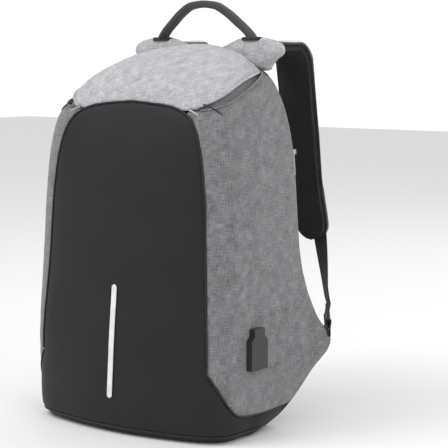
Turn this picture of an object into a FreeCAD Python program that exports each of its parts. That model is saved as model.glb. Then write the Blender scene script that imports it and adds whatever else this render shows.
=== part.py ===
import FreeCAD, Part
import math
import os
from FreeCAD import Placement, Rotation, Vector

# Anti-theft commuter backpack with a USB charging socket.
# Frame: +Z up, -Y is the front (the plain black panel), +Y the wearer's back, origin on the floor
# under the middle of the base. Millimetres throughout.

doc = FreeCAD.newDocument("usb_backpack")
sheet = doc.addObject("Spreadsheet::Sheet", "Dims")

DIMENSIONS = {
    # body
    "wall": 4.0,              # outer fabric, foam and backing sewn together
    "lining_gap": 9.0,        # from the outer face in to the lining
    "lining_thick": 0.8,
    "strip_proud": 0.8,
    "panel_top": 401.0,       # top of the front panel
    "strip_width": 7.0,
    "strip_bottom": 44.0,
    "strip_top": 176.0,
    "board_thick": 3.0,
    # back panel, which is the door of the main compartment
    "door_bottom": 108.0,
    "door_gap": 7.4,          # from the wall in to the board's edge, room for the zip sliders
    "door_y": 83.0,
    "door_board": 4.0,
    "door_foam": 13.0,
    "foam_gap": 13.2,         # from the wall in to the padding's edge
    "yoke_thick": 13.0,
    # shoulder straps
    "strap_x": 70.0,
    "strap_yaw": 13.0,
    "strap_width": 62.0,
    "strap_cover": 4.0,
    "strap_pad": 8.0,
    "webbing_width": 20.0,
    "webbing_thick": 1.8,
    # carry handle
    "handle_width": 20.0,
    "handle_thick": 8.0,
    "handle_y": 91.0,
    # usb socket housing
    "usb_x": 151.5,
    "usb_y": -16.0,
    "usb_z": 84.0,
    "usb_length": 49.0,
    "usb_width": 32.0,
    "usb_neck": 20.0,
    "usb_depth": 8.5,
    # zip
    "tape_width": 12.0,
    "tape_thick": 0.8,
    # power bank
    "bank_width": 60.0,
    "bank_height": 92.0,
    "bank_depth": 15.0,
    "bank_x": 124.0,
    "bank_y": -20.0,
    "bank_floor": 24.0,
}
for row, (alias, number) in enumerate(DIMENSIONS.items(), start=1):
    sheet.set("A%d" % row, alias)
    sheet.set("B%d" % row, str(number))
    sheet.setAlias("B%d" % row, alias)
doc.recompute()


def dim(alias):
    """A driving dimension, read back from the spreadsheet."""
    return float(getattr(sheet, alias))


def keep(name, shape):
    """A plain document object that holds one shape."""
    item = doc.addObject("Part::Feature", name)
    item.Shape = shape
    return item


def spline(points):
    curve = Part.BSplineCurve()
    curve.interpolate(points)
    return curve.toShape()


def prism(name, edges, direction, forward, backward):
    """Extrude a closed outline both ways along direction."""
    item = doc.addObject("Part::Extrusion", name)
    item.Base = keep(name + "_outline", Part.Face(Part.Wire(edges)))
    item.DirMode = "Custom"
    item.Dir = direction
    item.LengthFwd = forward
    item.LengthRev = backward
    item.Solid = True
    return item


def outline(pieces, place):
    """Edges from a list of point lists: two points make a line, more make a spline."""
    edges = []
    for piece in pieces:
        points = [place(a, b) for a, b in piece]
        if len(points) == 2:
            edges.append(Part.makeLine(points[0], points[1]))
        else:
            edges.append(spline(points))
    return edges


def side_view(y, z):
    return Vector(0, y, z)


def front_view(x, z):
    return Vector(x, 0, z)


def mirrored_arch(half):
    """A front-view curve through (x, z) points from the right foot to the middle, and its mirror image."""
    return half + [(-x, z) for x, z in half[-2::-1]]


def common(name, base, tool):
    item = doc.addObject("Part::Common", name)
    item.Base = base
    item.Tool = tool
    return item


def cut(name, base, tool):
    item = doc.addObject("Part::Cut", name)
    item.Base = base
    item.Tool = tool
    return item


def fuse(name, base, tool):
    item = doc.addObject("Part::Fuse", name)
    item.Base = base
    item.Tool = tool
    return item


def block(name, x, y, z, low):
    """A box whose lowest corner is low. Sizes are numbers or spreadsheet expressions."""
    item = doc.addObject("Part::Box", name)
    for side, value in (("Length", x), ("Width", y), ("Height", z)):
        if isinstance(value, str):
            item.setExpression(side, value)
        else:
            setattr(item, side, value)
    item.Placement = Placement(Vector(*low), Rotation())
    return item


FAR = 600.0  # reaches past the whole bag
FRONT = Vector(0, -1, 0)
RIGHT = Vector(1, 0, 0)
UP = Vector(0, 0, 1)

# ---------------------------------------------------------------------------------------------
# Body form: level cross-sections, lofted, then trimmed by a side profile.
# Each section: height, half width, half width and y at the front panel's edge, y of the crown of
# the front, y where the side wall begins, and half width far behind the rim, where the wings flare.
SECTIONS = [
    (0, 137, 117, -66, -86, -20, 70),
    (5, 144, 123, -73, -94, -20, 78),
    (16, 149, 127, -77.5, -99, -20, 104),
    (40, 150, 128, -78, -99.5, -20, 148),
    (67, 151, 128, -78, -98, -20, 164),
    (102, 152, 128, -77.5, -95.5, -20, 178),
    (132, 152, 126.5, -76, -93, -20, 171),
    (167, 151.5, 124, -73, -89.5, -20, 155),
    (211, 150, 121, -70, -86, -20, 147),
    (273, 147, 118, -67, -80.5, -20, 142),
    (333, 142, 113, -63, -72.5, -18, 136),
    (372, 135, 106, -57, -63, -12, 128),
    (402, 123, 92, -42, -52, 5, 117),
    (425, 110, 76, -18, -31, 25, 98),
    (443, 93, 58, 12, -2, 45, 50),
    (454, 74, 44, 34, 20, 52, 40),
    (462, 44, 28, 58, 46, 64, 30),
]
SECTION_REAR = 126.0
LOW_END = 60.0  # below this an inner section also rises by its inset
TOP_FROM = 380.0  # above this an inner section also drops by its inset


def level_section(row, inset):
    height, half, edge, edge_y, crown_y, side_y, rear = row
    half -= inset
    edge -= 0.8 * inset
    edge_y += 0.8 * inset
    crown_y += inset
    rear -= inset
    height += inset * max(0.0, 1.0 - height / LOW_END)
    height -= inset * max(0.0, (height - TOP_FROM) / (SECTIONS[-1][0] - TOP_FROM))
    right = [
        (rear, SECTION_REAR),
        (half + 0.20 * (rear - half), max(56, side_y + 28)),
        (half, max(18, side_y + 12)),
        (half - 1, side_y),
        (edge + 0.81 * (half - edge), edge_y + 0.30 * (side_y - edge_y)),
        (edge, edge_y),
        (0.55 * edge, crown_y + 0.30 * (edge_y - crown_y)),
        (0, crown_y),
    ]
    points = [Vector(x, y, height) for x, y in mirrored_arch(right)]
    return Part.Wire([spline(points), Part.makeLine(points[-1], points[0])])


REAR_TOP = 480.0
REAR_EDGE = [(112, 113), (103, 138), (92.5, 162), (86, 186), (82, 215), (80, 270), (80, 337), (81, 400), (83, REAR_TOP)]
WING_TIP = [(107.5, 90), (113.6, 99.5), (112, 113)]
DIAGONAL = [(45, -3), (107.5, 90)]


def body_form(name, inset, closed_rear=False):
    """The bag's outer form, drawn in by inset. An open rear runs out through the rim."""
    loft = doc.addObject("Part::Loft", name + "_loft")
    loft.Sections = [
        keep("%s_level_%d" % (name, n), level_section(row, inset)) for n, row in enumerate(SECTIONS)
    ]
    loft.Solid = True
    if not closed_rear:
        return loft
    pieces = [REAR_EDGE[::-1], WING_TIP[::-1], DIAGONAL[::-1], [DIAGONAL[0], (-FAR, DIAGONAL[0][1])],
              [(-FAR, DIAGONAL[0][1]), (-FAR, REAR_TOP)], [(-FAR, REAR_TOP), REAR_EDGE[-1]]]
    return common(name, loft, prism(name + "_side", outline(pieces, side_view), RIGHT, FAR, FAR))


wall = dim("wall")
outer = body_form("outer_form", 0.0, closed_rear=True)
inner = body_form("inner_form", wall)
shell = cut("shell_wall", outer, inner)
doc.recompute()

# ---------------------------------------------------------------------------------------------
# The outer wall, cut into its sewn panels.

BASE_RIM = 9.0  # height of the base panel's rim
REST_BACK = 140.0


def half_prism(name, run, direction):
    """A prism of a closed polygon seen from the side (RIGHT) or from the front (FRONT)."""
    place = side_view if direction is RIGHT else front_view
    corners = [place(a, b) for a, b in run]
    edges = [Part.makeLine(a, b) for a, b in zip(corners, corners[1:] + corners[:1])]
    return prism(name, edges, direction, FAR, FAR)


# Front panel outline, from its right foot over the top to the left foot.
PANEL_EDGE = mirrored_arch(
    [(128, 20), (128, 102), (126.5, 132), (124, 167), (121, 211), (118, 273), (114, 310), (107, 346),
     (91, 377), (58, 391), (0, dim("panel_top") - 4)]
)
panel_front = prism(
    "panel_outline",
    outline([PANEL_EDGE, [(-128, 20), (-128, -5)], [(-128, -5), (128, -5)], [(128, -5), (128, 20)]], front_view),
    FRONT, REST_BACK, 20,
)
# Below this line the black fabric runs round the corner and along the foot of the sides.
wrap_line = [(-78, 82), (-68, 58), (-58, 42), (-44, 32), (-25, 28), (0, 27), (40, 26), (80, 25)]
wrap_side = prism(
    "wrap_outline",
    outline([wrap_line, [(80, 25), (80, -5)], [(80, -5), (-REST_BACK, -5)], [(-REST_BACK, -5), (-REST_BACK, 82)],
             [(-REST_BACK, 82), (-78, 82)]], side_view),
    RIGHT, FAR, FAR,
)
base_slab = block("base_slab", 2 * FAR, 2 * FAR, BASE_RIM, (-FAR, -FAR, 0))
base_wall = common("base_wall", shell, base_slab)
above_base = cut("above_base", shell, base_slab)
black_zone = fuse("black_zone", panel_front, wrap_side)
front_wall = common("front_wall", above_base, black_zone)
grey_wall = cut("grey_wall", above_base, black_zone)

# A skin just inside the wall, from which the pleats and the front board are taken.
BOARD_CLEAR = 0.2
board_outer = body_form("board_outer", wall + BOARD_CLEAR)
board_inner = body_form("board_inner", wall + BOARD_CLEAR + dim("board_thick"))
board_skin = cut("board_skin", board_outer, board_inner)

# The pleat: the side panel ends in a straight hem, and the top panel in a bowed edge above it.
HEM = [(-75, 379), (96, 437)]
BOW = [(-75, 379), (-52, 388.5), (-20, 404), (15, 417), (50, 427), (75, 431.5), (96, 437)]
below_hem = half_prism("below_hem", [HEM[0], HEM[1], (FAR, 437), (FAR, -5), (-FAR, -5), (-FAR, 379)], RIGHT)
below_bow = prism(
    "below_bow",
    outline([BOW, [BOW[-1], (FAR, 437)], [(FAR, 437), (FAR, -5)], [(FAR, -5), (-FAR, -5)],
             [(-FAR, -5), (-FAR, 379)], [(-FAR, 379), BOW[0]]], side_view),
    RIGHT, FAR, FAR,
)
sides = common("side_walls", grey_wall, below_hem)
top_wall = cut("top_wall", grey_wall, below_bow)
right_half = block("right_half", FAR, 2 * FAR, 2 * FAR, (0, -FAR, -FAR))
left_half = block("left_half", FAR, 2 * FAR, 2 * FAR, (-FAR, -FAR, -FAR))

PLEAT_FROM = 84.0  # the fold stays outside this half width
pleat_zone = half_prism(
    "pleat_zone", [(-60, 373), (70, 416.5), (70, 436), (15, 426), (-22, 410), (-60, 392)], RIGHT,
)
pleats = common("pleats", board_skin, pleat_zone)
right_far = block("right_far", FAR, 2 * FAR, 2 * FAR, (PLEAT_FROM, -FAR, -FAR))
left_far = block("left_far", FAR, 2 * FAR, 2 * FAR, (-FAR - PLEAT_FROM, -FAR, -FAR))

# Behind the front panel: a stiff sheet that stops a blade.
board_zone = prism(
    "board_zone",
    outline([mirrored_arch([(118, 60), (118, 102), (116, 167), (112, 211), (109, 273), (104, 310), (96, 340),
                            (80, 360), (50, 370), (0, 374)]), [(-118, 60), (118, 60)]], front_view),
    FRONT, REST_BACK, 30,
)
front_board = common("board", board_skin, board_zone)

# Lining: a thin bag inside everything, open at the rear.
LINING_REAR = 52.0  # the lining is open behind this
lining_gap = dim("lining_gap")
lining_face_gap = lining_gap + dim("lining_thick")
lining_outer = body_form("lining_outer", lining_gap)
lining_inner = body_form("lining_inner", lining_face_gap)
rear_space = block("rear_space", 2 * FAR, FAR, 2 * FAR, (-FAR, LINING_REAR, -FAR))
lining_wall = cut("lining_wall", cut("lining_front", lining_outer, rear_space), lining_inner)

# Lower rear panel: closes the slope between the wings.
slope_zone = half_prism(
    "slope_zone", [(57.2, 4), (107.5, 90), (110.8, 95), (107, 97.5), (103, 92), (53.2, 7)], RIGHT,
)
slope_wall = common("slope_wall", inner, slope_zone)

# Reflective strip, laid on the front panel.
proud = body_form("proud_form", -dim("strip_proud"))
strip_skin = cut("strip_skin", proud, outer)
strip_half = dim("strip_width") / 2
low, high = dim("strip_bottom"), dim("strip_top")
strip_edge = [
    Part.makeLine(front_view(strip_half, low), front_view(strip_half, high)),
    Part.Arc(front_view(strip_half, high), front_view(0, high + strip_half), front_view(-strip_half, high)).toShape(),
    Part.makeLine(front_view(-strip_half, high), front_view(-strip_half, low)),
    Part.Arc(front_view(-strip_half, low), front_view(0, low - strip_half), front_view(strip_half, low)).toShape(),
]
strip_zone = prism("strip_zone", strip_edge, FRONT, REST_BACK, -20)
strip = common("strip", strip_skin, strip_zone)

# ---------------------------------------------------------------------------------------------
# USB socket on the right side: a moulded housing, with its opening facing the floor.

usb_mid = dim("usb_y")
usb_low = dim("usb_z")
usb_half = dim("usb_width") / 2
neck_half = dim("usb_neck") / 2
usb_top = usb_low + dim("usb_length")
shoulder = usb_top - 14
usb_face = prism(
    "usb_face",
    outline([
        [(usb_mid - usb_half, usb_low), (usb_mid - usb_half, shoulder)],
        [(usb_mid - usb_half, shoulder), (usb_mid - neck_half, shoulder + 5)],
        [(usb_mid - neck_half, shoulder + 5), (usb_mid - neck_half, usb_top)],
        [(usb_mid - neck_half, usb_top), (usb_mid + neck_half, usb_top)],
        [(usb_mid + neck_half, usb_top), (usb_mid + neck_half, shoulder + 5)],
        [(usb_mid + neck_half, shoulder + 5), (usb_mid + usb_half, shoulder)],
        [(usb_mid + usb_half, shoulder), (usb_mid + usb_half, usb_low)],
        [(usb_mid + usb_half, usb_low), (usb_mid - usb_half, usb_low)],
    ], side_view),
    RIGHT, dim("usb_x") + dim("usb_depth"), -100,
)
usb_mass = cut("usb_mass", usb_face, outer)

# USB-A receptacle: shell outside size, wall and tongue.
SHELL_ACROSS, SHELL_HIGH, SHELL_DEEP, SHELL_WALL = 13.1, 5.7, 14.0, 0.3
TONGUE_ACROSS, TONGUE_HIGH = 11.1, 1.84
socket_x = dim("usb_x") + dim("usb_depth") - SHELL_HIGH - 1.3
socket_low = (socket_x, usb_mid - SHELL_ACROSS / 2, usb_low)
socket_block = block("socket_block", SHELL_HIGH, SHELL_ACROSS, SHELL_DEEP, socket_low)
socket_core = block(
    "socket_core", SHELL_HIGH - 2 * SHELL_WALL, SHELL_ACROSS - 2 * SHELL_WALL, SHELL_DEEP,
    (socket_x + SHELL_WALL, usb_mid - SHELL_ACROSS / 2 + SHELL_WALL, usb_low - 1),
)
socket = cut("usb_socket", socket_block, socket_core)
tongue_z = usb_low + 1.5
tongue = block(
    "usb_tongue", TONGUE_HIGH, TONGUE_ACROSS, usb_low + SHELL_DEEP - 1 - tongue_z,
    (socket_x + SHELL_WALL + 0.6, usb_mid - TONGUE_ACROSS / 2, tongue_z),
)

# Cable: out of the top of the socket, through the side wall, over and down to the power bank.
CABLE_RADIUS = 1.8
cable_x = socket_x + SHELL_HIGH / 2
port_z = usb_low + 24
bank_x = dim("bank_x")
bank_y = dim("bank_y")
bank_floor = dim("bank_floor")
plug_top = bank_floor + dim("bank_height") + 16
cable_path = Part.makePolygon([
    Vector(cable_x, usb_mid, usb_low + SHELL_DEEP), Vector(cable_x, usb_mid, port_z - 5),
    Vector(cable_x - 5, usb_mid, port_z), Vector(139.5, usb_mid, port_z), Vector(136.5, usb_mid - 3, port_z + 4),
    Vector(136, usb_mid - 5, plug_top + 22), Vector(131, bank_y - 2, plug_top + 26), Vector(bank_x, bank_y, plug_top + 20),
    Vector(bank_x, bank_y, plug_top),
])


def round_pipe(name, path, radius):
    """A round bar swept along a wire that starts straight up."""
    start = path.OrderedVertexes[0].Point
    ring = Part.Wire(Part.makeCircle(radius, start, Vector(0, 0, 1)))
    sweep = doc.addObject("Part::Sweep", name)
    sweep.Sections = [keep(name + "_ring", ring)]
    sweep.Spine = (keep(name + "_path", path), [])
    sweep.Solid = True
    sweep.Transition = "Round corner"
    return sweep


cable = round_pipe("usb_cable", cable_path, CABLE_RADIUS)
cable_hole = doc.addObject("Part::Cylinder", "cable_hole")
cable_hole.Radius = CABLE_RADIUS + 0.4
cable_hole.Height = 24
cable_hole.Placement = Placement(Vector(136, usb_mid, port_z), Rotation(UP, RIGHT))
cable_room = round_pipe("cable_room", cable_path, CABLE_RADIUS + 0.4)
socket_room = fuse("socket_room", socket_block, cable_room)
usb_housing = cut("usb_housing", usb_mass, socket_room)

# ---------------------------------------------------------------------------------------------
# Power bank in its pocket, inside the right wall.

bank_w, bank_h, bank_d = dim("bank_width"), dim("bank_height"), dim("bank_depth")
bank_low = (bank_x - bank_d / 2, bank_y - bank_w / 2, bank_floor)
bank_block = block("bank_block", bank_d, bank_w, bank_h, bank_low)
PLUG_X, PLUG_Y, PLUG_Z, PLUG_DEEP = 4.5, 12.0, 16.0, 9.0
plug = block(
    "usb_plug", PLUG_X + 3.5, PLUG_Y + 4, PLUG_Z,
    (bank_x - PLUG_X / 2 - 1.75, bank_y - PLUG_Y / 2 - 2, plug_top - PLUG_Z),
)
BUTTON_RADIUS, BUTTON_LONG, BUTTON_PROUD = 4.0, 3.0, 1.0
button_y = bank_y - 18
button_z = bank_floor + bank_h
button = doc.addObject("Part::Cylinder", "power_button")
button.Radius = BUTTON_RADIUS
button.Height = BUTTON_LONG
button.Placement = Placement(Vector(bank_x, button_y, button_z - BUTTON_LONG + BUTTON_PROUD), Rotation())
button_bore = doc.addObject("Part::Cylinder", "button_bore")
button_bore.Radius = BUTTON_RADIUS + 0.1
button_bore.Height = BUTTON_LONG + 2
button_bore.Placement = Placement(Vector(bank_x, button_y, button_z - BUTTON_LONG - 0.2), Rotation())
bank = cut("power_bank", bank_block, button_bore)
bank_slot = block("bank_slot", bank_d + 0.6, bank_w + 0.6, bank_h + 40,
                  (bank_low[0] - 0.3, bank_low[1] - 0.3, bank_floor - 0.3))
POCKET_WALL = 2.2
pocket_block = block("pocket_block", 60, bank_w + 2 * POCKET_WALL, bank_h - 22,
                     (bank_low[0] - POCKET_WALL, bank_low[1] - POCKET_WALL, bank_floor - POCKET_WALL))
lining_face = body_form("lining_face", lining_face_gap + 0.05)
pocket_mass = common("pocket_mass", pocket_block, lining_face)
bank_pocket = cut("power_bank_pocket", pocket_mass, bank_slot)

# ---------------------------------------------------------------------------------------------
# The back panel: one door with a stiff board, padding, the yoke and the sleeves.

door_low = dim("door_bottom")
DOOR_STRAIGHT, STRAIGHT_TOP = 140.0, 168.0
board_face = dim("door_y")
foam_face = board_face + dim("door_board")
foam_back = foam_face + dim("door_foam")
door_form = body_form("door_form", wall + dim("door_gap"))
foam_form = body_form("foam_form", wall + dim("foam_gap"))
door_slab = block("door_slab", 2 * FAR, dim("door_board"), 2 * FAR, (-FAR, board_face, door_low))
foam_slab = block("foam_slab", 2 * FAR, dim("door_foam"), 2 * FAR, (-FAR, foam_face, door_low + 4))
door_mass = common("door_mass", door_form, door_slab)
# Low down the door is straight-sided, so that it swings out between the two ladder locks.
straight_slab = block("straight_slab", 2 * DOOR_STRAIGHT, 2 * FAR, 2 * FAR, (-DOOR_STRAIGHT, -FAR, -FAR))
above_straight = block("above_straight", 2 * FAR, 2 * FAR, FAR, (-FAR, -FAR, STRAIGHT_TOP))
back_board = common("back_board", door_mass, fuse("door_limits", straight_slab, above_straight))
foam_mass = common("foam_mass", foam_form, foam_slab)

yoke_line = mirrored_arch(
    [(98, 430), (108, 445), (118, 455), (112, 464), (97, 470), (56, 473), (15, 461), (0, 460)]
)
yoke_edge = outline([yoke_line, [yoke_line[-1], yoke_line[0]]], front_view)
yoke = prism("yoke", yoke_edge, FRONT, -foam_face, foam_face + dim("yoke_thick"))
YOKE_LOW = 429.0  # the padding ends just below the yoke
yoke_room = block("yoke_room", 2 * FAR, FAR, FAR, (-FAR, foam_face - 1, YOKE_LOW))
back_foam = cut("back_foam", foam_mass, yoke_room)

BAND_THICK = 1.6  # webbing of the flat straps on and in the door
LUGGAGE_LONG, LUGGAGE_WIDE, LUGGAGE_LOW = 250.0, 70.0, 215.0
luggage = block("luggage_strap", LUGGAGE_LONG, BAND_THICK, LUGGAGE_WIDE, (-LUGGAGE_LONG / 2, foam_back + 0.1, LUGGAGE_LOW))

# Laptop sleeve: a pouch on the inside of the door, open at the top.
SLEEVE_WIDE, SLEEVE_DEEP, SLEEVE_HIGH, SLEEVE_LOW, SLEEVE_WALL = 240.0, 26.0, 240.0, 116.0, 3.0
sleeve_front = board_face - SLEEVE_DEEP
sleeve_back = block("sleeve_back", SLEEVE_WIDE, SLEEVE_DEEP, SLEEVE_HIGH, (-SLEEVE_WIDE / 2, sleeve_front, SLEEVE_LOW))
sleeve_hole = block(
    "sleeve_hole", SLEEVE_WIDE - 2 * SLEEVE_WALL, SLEEVE_DEEP - 2 * SLEEVE_WALL, SLEEVE_HIGH + 20,
    (-SLEEVE_WIDE / 2 + SLEEVE_WALL, sleeve_front + SLEEVE_WALL, SLEEVE_LOW + SLEEVE_WALL),
)
laptop_sleeve = cut("laptop_sleeve", sleeve_back, sleeve_hole)
STRAP_WIDE, STRAP_LONG, STRAP_LOW = 30.0, 70.0, 306.0
sleeve_strap = block("sleeve_strap", STRAP_WIDE, BAND_THICK, STRAP_LONG,
                     (-STRAP_WIDE / 2, sleeve_front - BAND_THICK - 0.1, STRAP_LOW))

# ---------------------------------------------------------------------------------------------
# Zip round the door.

ZIP_LOW = 172.0
COIL_IN, COIL_OUT, COIL_DEEP = 3.5, 1.1, 2.4  # how far in from the wall, and how deep
tape_thick, tape_width = dim("tape_thick"), dim("tape_width")
TAPE_CLEAR = 0.05


def zip_ring(name, from_wall, to_wall, y_low, depth):
    """A ring round the door, between two distances in from the wall, open at its foot."""
    slab = block(name + "_slab", 2 * FAR, depth, 2 * FAR, (-FAR, y_low, ZIP_LOW))
    trimmed = common(name + "_trimmed", body_form(name + "_out", wall + from_wall), slab)
    return cut(name, trimmed, body_form(name + "_in", wall + to_wall))


zip_coil = zip_ring("zip_coil", COIL_OUT, COIL_IN, board_face - COIL_DEEP - 0.2, COIL_DEEP)
zip_tape_shell = zip_ring("zip_tape_shell", TAPE_CLEAR, TAPE_CLEAR + tape_thick, board_face - tape_width, tape_width)
zip_tape_door = zip_ring("zip_tape_door", COIL_IN, tape_width - 1, board_face - tape_thick - TAPE_CLEAR, tape_thick)

# ---------------------------------------------------------------------------------------------
# Base board, organiser pocket.

FLOOR_LOW, FLOOR_THICK = 4.4, 3.6
floor_high = FLOOR_LOW + FLOOR_THICK
base_form = body_form("base_form", wall + 0.5)
base_zone = half_prism("base_zone", [(-90, FLOOR_LOW), (36, FLOOR_LOW), (38, floor_high), (-90, floor_high)], RIGHT)
base_board = common("base_board", base_form, base_zone)

# Three pockets side by side: one sheet sewn to the lining, hollowed behind from above.
ORGANISER_GAP, ORGANISER_DEEP = 10.2, 3.2
ROOM_PAST, SHEET_THICK = 0.1, 1.0  # each pocket's room runs out at the lining; the cloth in front
ORGANISER_HALF, ORGANISER_LOW, ORGANISER_HIGH = 98.0, 60.0, 250.0
POCKETS = [(-94, -34), (-30, 30), (34, 94)]
organiser_out = body_form("organiser_out", ORGANISER_GAP)
organiser_in = body_form("organiser_in", ORGANISER_GAP + ORGANISER_DEEP)
organiser_skin = cut("organiser_skin", organiser_out, organiser_in)
organiser_zone = half_prism(
    "organiser_zone",
    [(-ORGANISER_HALF, ORGANISER_LOW), (ORGANISER_HALF, ORGANISER_LOW), (ORGANISER_HALF, ORGANISER_HIGH),
     (-ORGANISER_HALF, ORGANISER_HIGH)], FRONT,
)
organiser_mass = common("organiser_mass", organiser_skin, organiser_zone)
organiser_front = block("organiser_front", 2 * FAR, 100, FAR, (-FAR, -110, 0))
organiser = common("organiser_sheet", organiser_mass, organiser_front)
gap_out = body_form("gap_out", ORGANISER_GAP - ROOM_PAST)
gap_in = body_form("gap_in", ORGANISER_GAP + ORGANISER_DEEP - SHEET_THICK)
gap_skin = cut("gap_skin", gap_out, gap_in)
for n, (left, right) in enumerate(POCKETS):
    low, high = ORGANISER_LOW + 6, ORGANISER_HIGH + 10
    compartment = half_prism("compartment_%d" % n, [(left, low), (right, low), (right, high), (left, high)], FRONT)
    organiser = cut("organiser_%d" % n, organiser, common("gap_%d" % n, gap_skin, compartment))

# ---------------------------------------------------------------------------------------------
# Zip sliders and their pulls, one pair each side of the door.

SLIDER_LONG, SLIDER_WIDE, SLIDER_DEEP = 13.0, 8.0, 3.2
SLIDER_Z, SLIDER_X, SLIDER_LOW_X = 330.0, 133.0, 140.9
SLIDER_TRAVEL = 100.0
slider_y = board_face + 0.5
PULL_WIDE, PULL_THICK, PULL_LONG = 7.0, 1.6, 30.0
PIN_RADIUS = 1.1
LUG = 5.2
lean = math.degrees(math.atan2(SLIDER_LOW_X - SLIDER_X, SLIDER_TRAVEL))
pin_y = slider_y + SLIDER_DEEP + LUG / 2
pin_z = SLIDER_LONG / 2 - 3


def slider_pair(side, word):
    """Slider with a cross pin, and the pull that hangs from it, leaning along the zip."""
    body_block = block("slider_block_" + word, SLIDER_WIDE, SLIDER_DEEP, SLIDER_LONG,
                       (-SLIDER_WIDE / 2, slider_y, -SLIDER_LONG / 2))
    lug_out = block("lug_out_" + word, SLIDER_WIDE, LUG, 6, (-SLIDER_WIDE / 2, slider_y + SLIDER_DEEP, pin_z - 3))
    lug_in = block("lug_in_" + word, SLIDER_WIDE - 3, LUG + 2, 8,
                   (-SLIDER_WIDE / 2 + 1.5, slider_y + SLIDER_DEEP - 0.2, pin_z - 4))
    lugs = cut("lugs_" + word, lug_out, lug_in)
    pin = doc.addObject("Part::Cylinder", "pin_" + word)
    pin.Radius = PIN_RADIUS
    pin.Height = SLIDER_WIDE - 2
    pin.Placement = Placement(Vector(-SLIDER_WIDE / 2 + 1, pin_y, pin_z), Rotation(UP, RIGHT))
    slider = fuse("slider_mass_" + word, fuse("slider_lugs_" + word, body_block, lugs), pin)
    tab = block("tab_" + word, SLIDER_WIDE - 4, PULL_THICK * 2, PULL_LONG,
                (-SLIDER_WIDE / 2 + 2, pin_y - PULL_THICK, pin_z + PULL_THICK - PULL_LONG))
    eye = doc.addObject("Part::Cylinder", "eye_" + word)
    eye.Radius = PIN_RADIUS + 0.06
    eye.Height = 3 * SLIDER_WIDE
    eye.Placement = Placement(Vector(-SLIDER_WIDE, pin_y, pin_z), Rotation(UP, RIGHT))
    pull = cut("pull_mass_" + word, tab, eye)
    spot = Placement(Vector(side * SLIDER_X, 0, SLIDER_Z), Rotation(Vector(0, 1, 0), -side * lean))
    for item in (slider, pull):
        item.Placement = spot
    return slider, pull


slider_right, pull_right = slider_pair(1, "right")
slider_left, pull_left = slider_pair(-1, "left")

# ---------------------------------------------------------------------------------------------
# Shoulder straps: grey cover outside, mesh pad inside, hanging in an arch from the yoke.

STRAP_PATH = [(0, 448), (17, 465), (46, 465), (62, 448), (69, 407), (77, 347), (86, 282), (95, 240), (99, 216)]
strap_half = dim("strap_width") / 2
strap_root_y = foam_face + dim("yoke_thick") + 3.5
STRAP_TIP = [(-strap_half, 490), (strap_half, 490), (strap_half, 270), (29, 238), (20, 219), (0, 211), (-20, 219),
             (-29, 238), (-strap_half, 270)]


def offset_path(path, distance):
    """The strap's side curve moved square to itself; positive is outward, over the top."""
    curve = Part.BSplineCurve()
    curve.interpolate([side_view(y, z) for y, z in path])
    moved = []
    for y, z in path:
        along = curve.tangent(curve.parameter(side_view(y, z)))[0]
        square = Vector(0, -along.z, along.y)
        moved.append((y + distance * square.y, z + distance * square.z))
    return moved


def strap_layer(name, inside, outside, side):
    """One layer of a strap between two distances from its path."""
    low_run, high_run = offset_path(STRAP_PATH, inside), offset_path(STRAP_PATH, outside)
    ribbon = prism(
        name + "_ribbon",
        outline([low_run, [low_run[-1], high_run[-1]], high_run[::-1], [high_run[0], low_run[0]]], side_view),
        RIGHT, strap_half, strap_half,
    )
    tip = half_prism(name + "_tip", STRAP_TIP, FRONT)
    layer = common(name + "_layer", ribbon, tip)
    layer.Placement = Placement(
        Vector(side * dim("strap_x"), strap_root_y, 0), Rotation(UP, -side * dim("strap_yaw"))
    )
    yoke_clear = block(name + "_clear", 2 * FAR, FAR, 2 * FAR, (-FAR, foam_face + dim("yoke_thick") + 0.15, 0))
    return common(name, layer, yoke_clear)


straps = {}
for side, word in ((1, "right"), (-1, "left")):
    straps["strap_pad_" + word] = strap_layer("pad_" + word, -dim("strap_pad"), -0.02, side)
    straps["strap_cover_" + word] = strap_layer("cover_" + word, 0.02, dim("strap_cover"), side)

# ---------------------------------------------------------------------------------------------
# Webbing from each strap to the wing of the bag, with a ladder lock at the wing.
# Worked out on the right; the left is its mirror image.

ANCHOR = Vector(166, 121, 112)
STRAP_FOOT = Vector(104, 196, 219)
RUN = (STRAP_FOOT - ANCHOR).normalize()  # up the webbing
FACE = Vector(RUN.y, -RUN.x, 0).normalize()  # square to the webbing where it meets the lock
ACROSS = FACE.cross(RUN)
LOCK_BAR, LOCK_MID, LOCK_TOP = 9.0, 19.0, 28.0  # bars, measured up from the anchor
BAR_RADIUS = 2.0
webbing_half = dim("webbing_width") / 2
webbing_thick = dim("webbing_thick")


def on_run(along, across, out):
    return ANCHOR + RUN * along + ACROSS * across + FACE * out


def run_block(name, along, across, out):
    """A block in the webbing's own frame, each range given as (low, high)."""
    item = block(name, across[1] - across[0], along[1] - along[0], out[1] - out[0], (0, 0, 0))
    item.Placement = Placement(
        on_run(along[0], across[0], out[1]), Rotation(ACROSS, RUN, FACE.negative(), "XYZ")
    )
    return item


def run_bar(name, along, radius, half):
    item = doc.addObject("Part::Cylinder", name)
    item.Radius = radius
    item.Height = 2 * half
    item.Placement = Placement(on_run(along, -half, 0), Rotation(UP, ACROSS))
    return item


def mirrored(name, source):
    item = doc.addObject("Part::Mirroring", name)
    item.Source = source
    item.Base = Vector(0, 0, 0)
    item.Normal = RIGHT
    return item


loop_slab = run_block("loop_slab", (-11, LOCK_BAR + 4), (-webbing_half, webbing_half), (-3.2, 3.2))
loop_bore = run_bar("loop_bore", LOCK_BAR, BAR_RADIUS + 0.1, 20)
anchor_loop = cut("anchor_loop_right", cut("loop_bored", loop_slab, loop_bore), outer)

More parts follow.
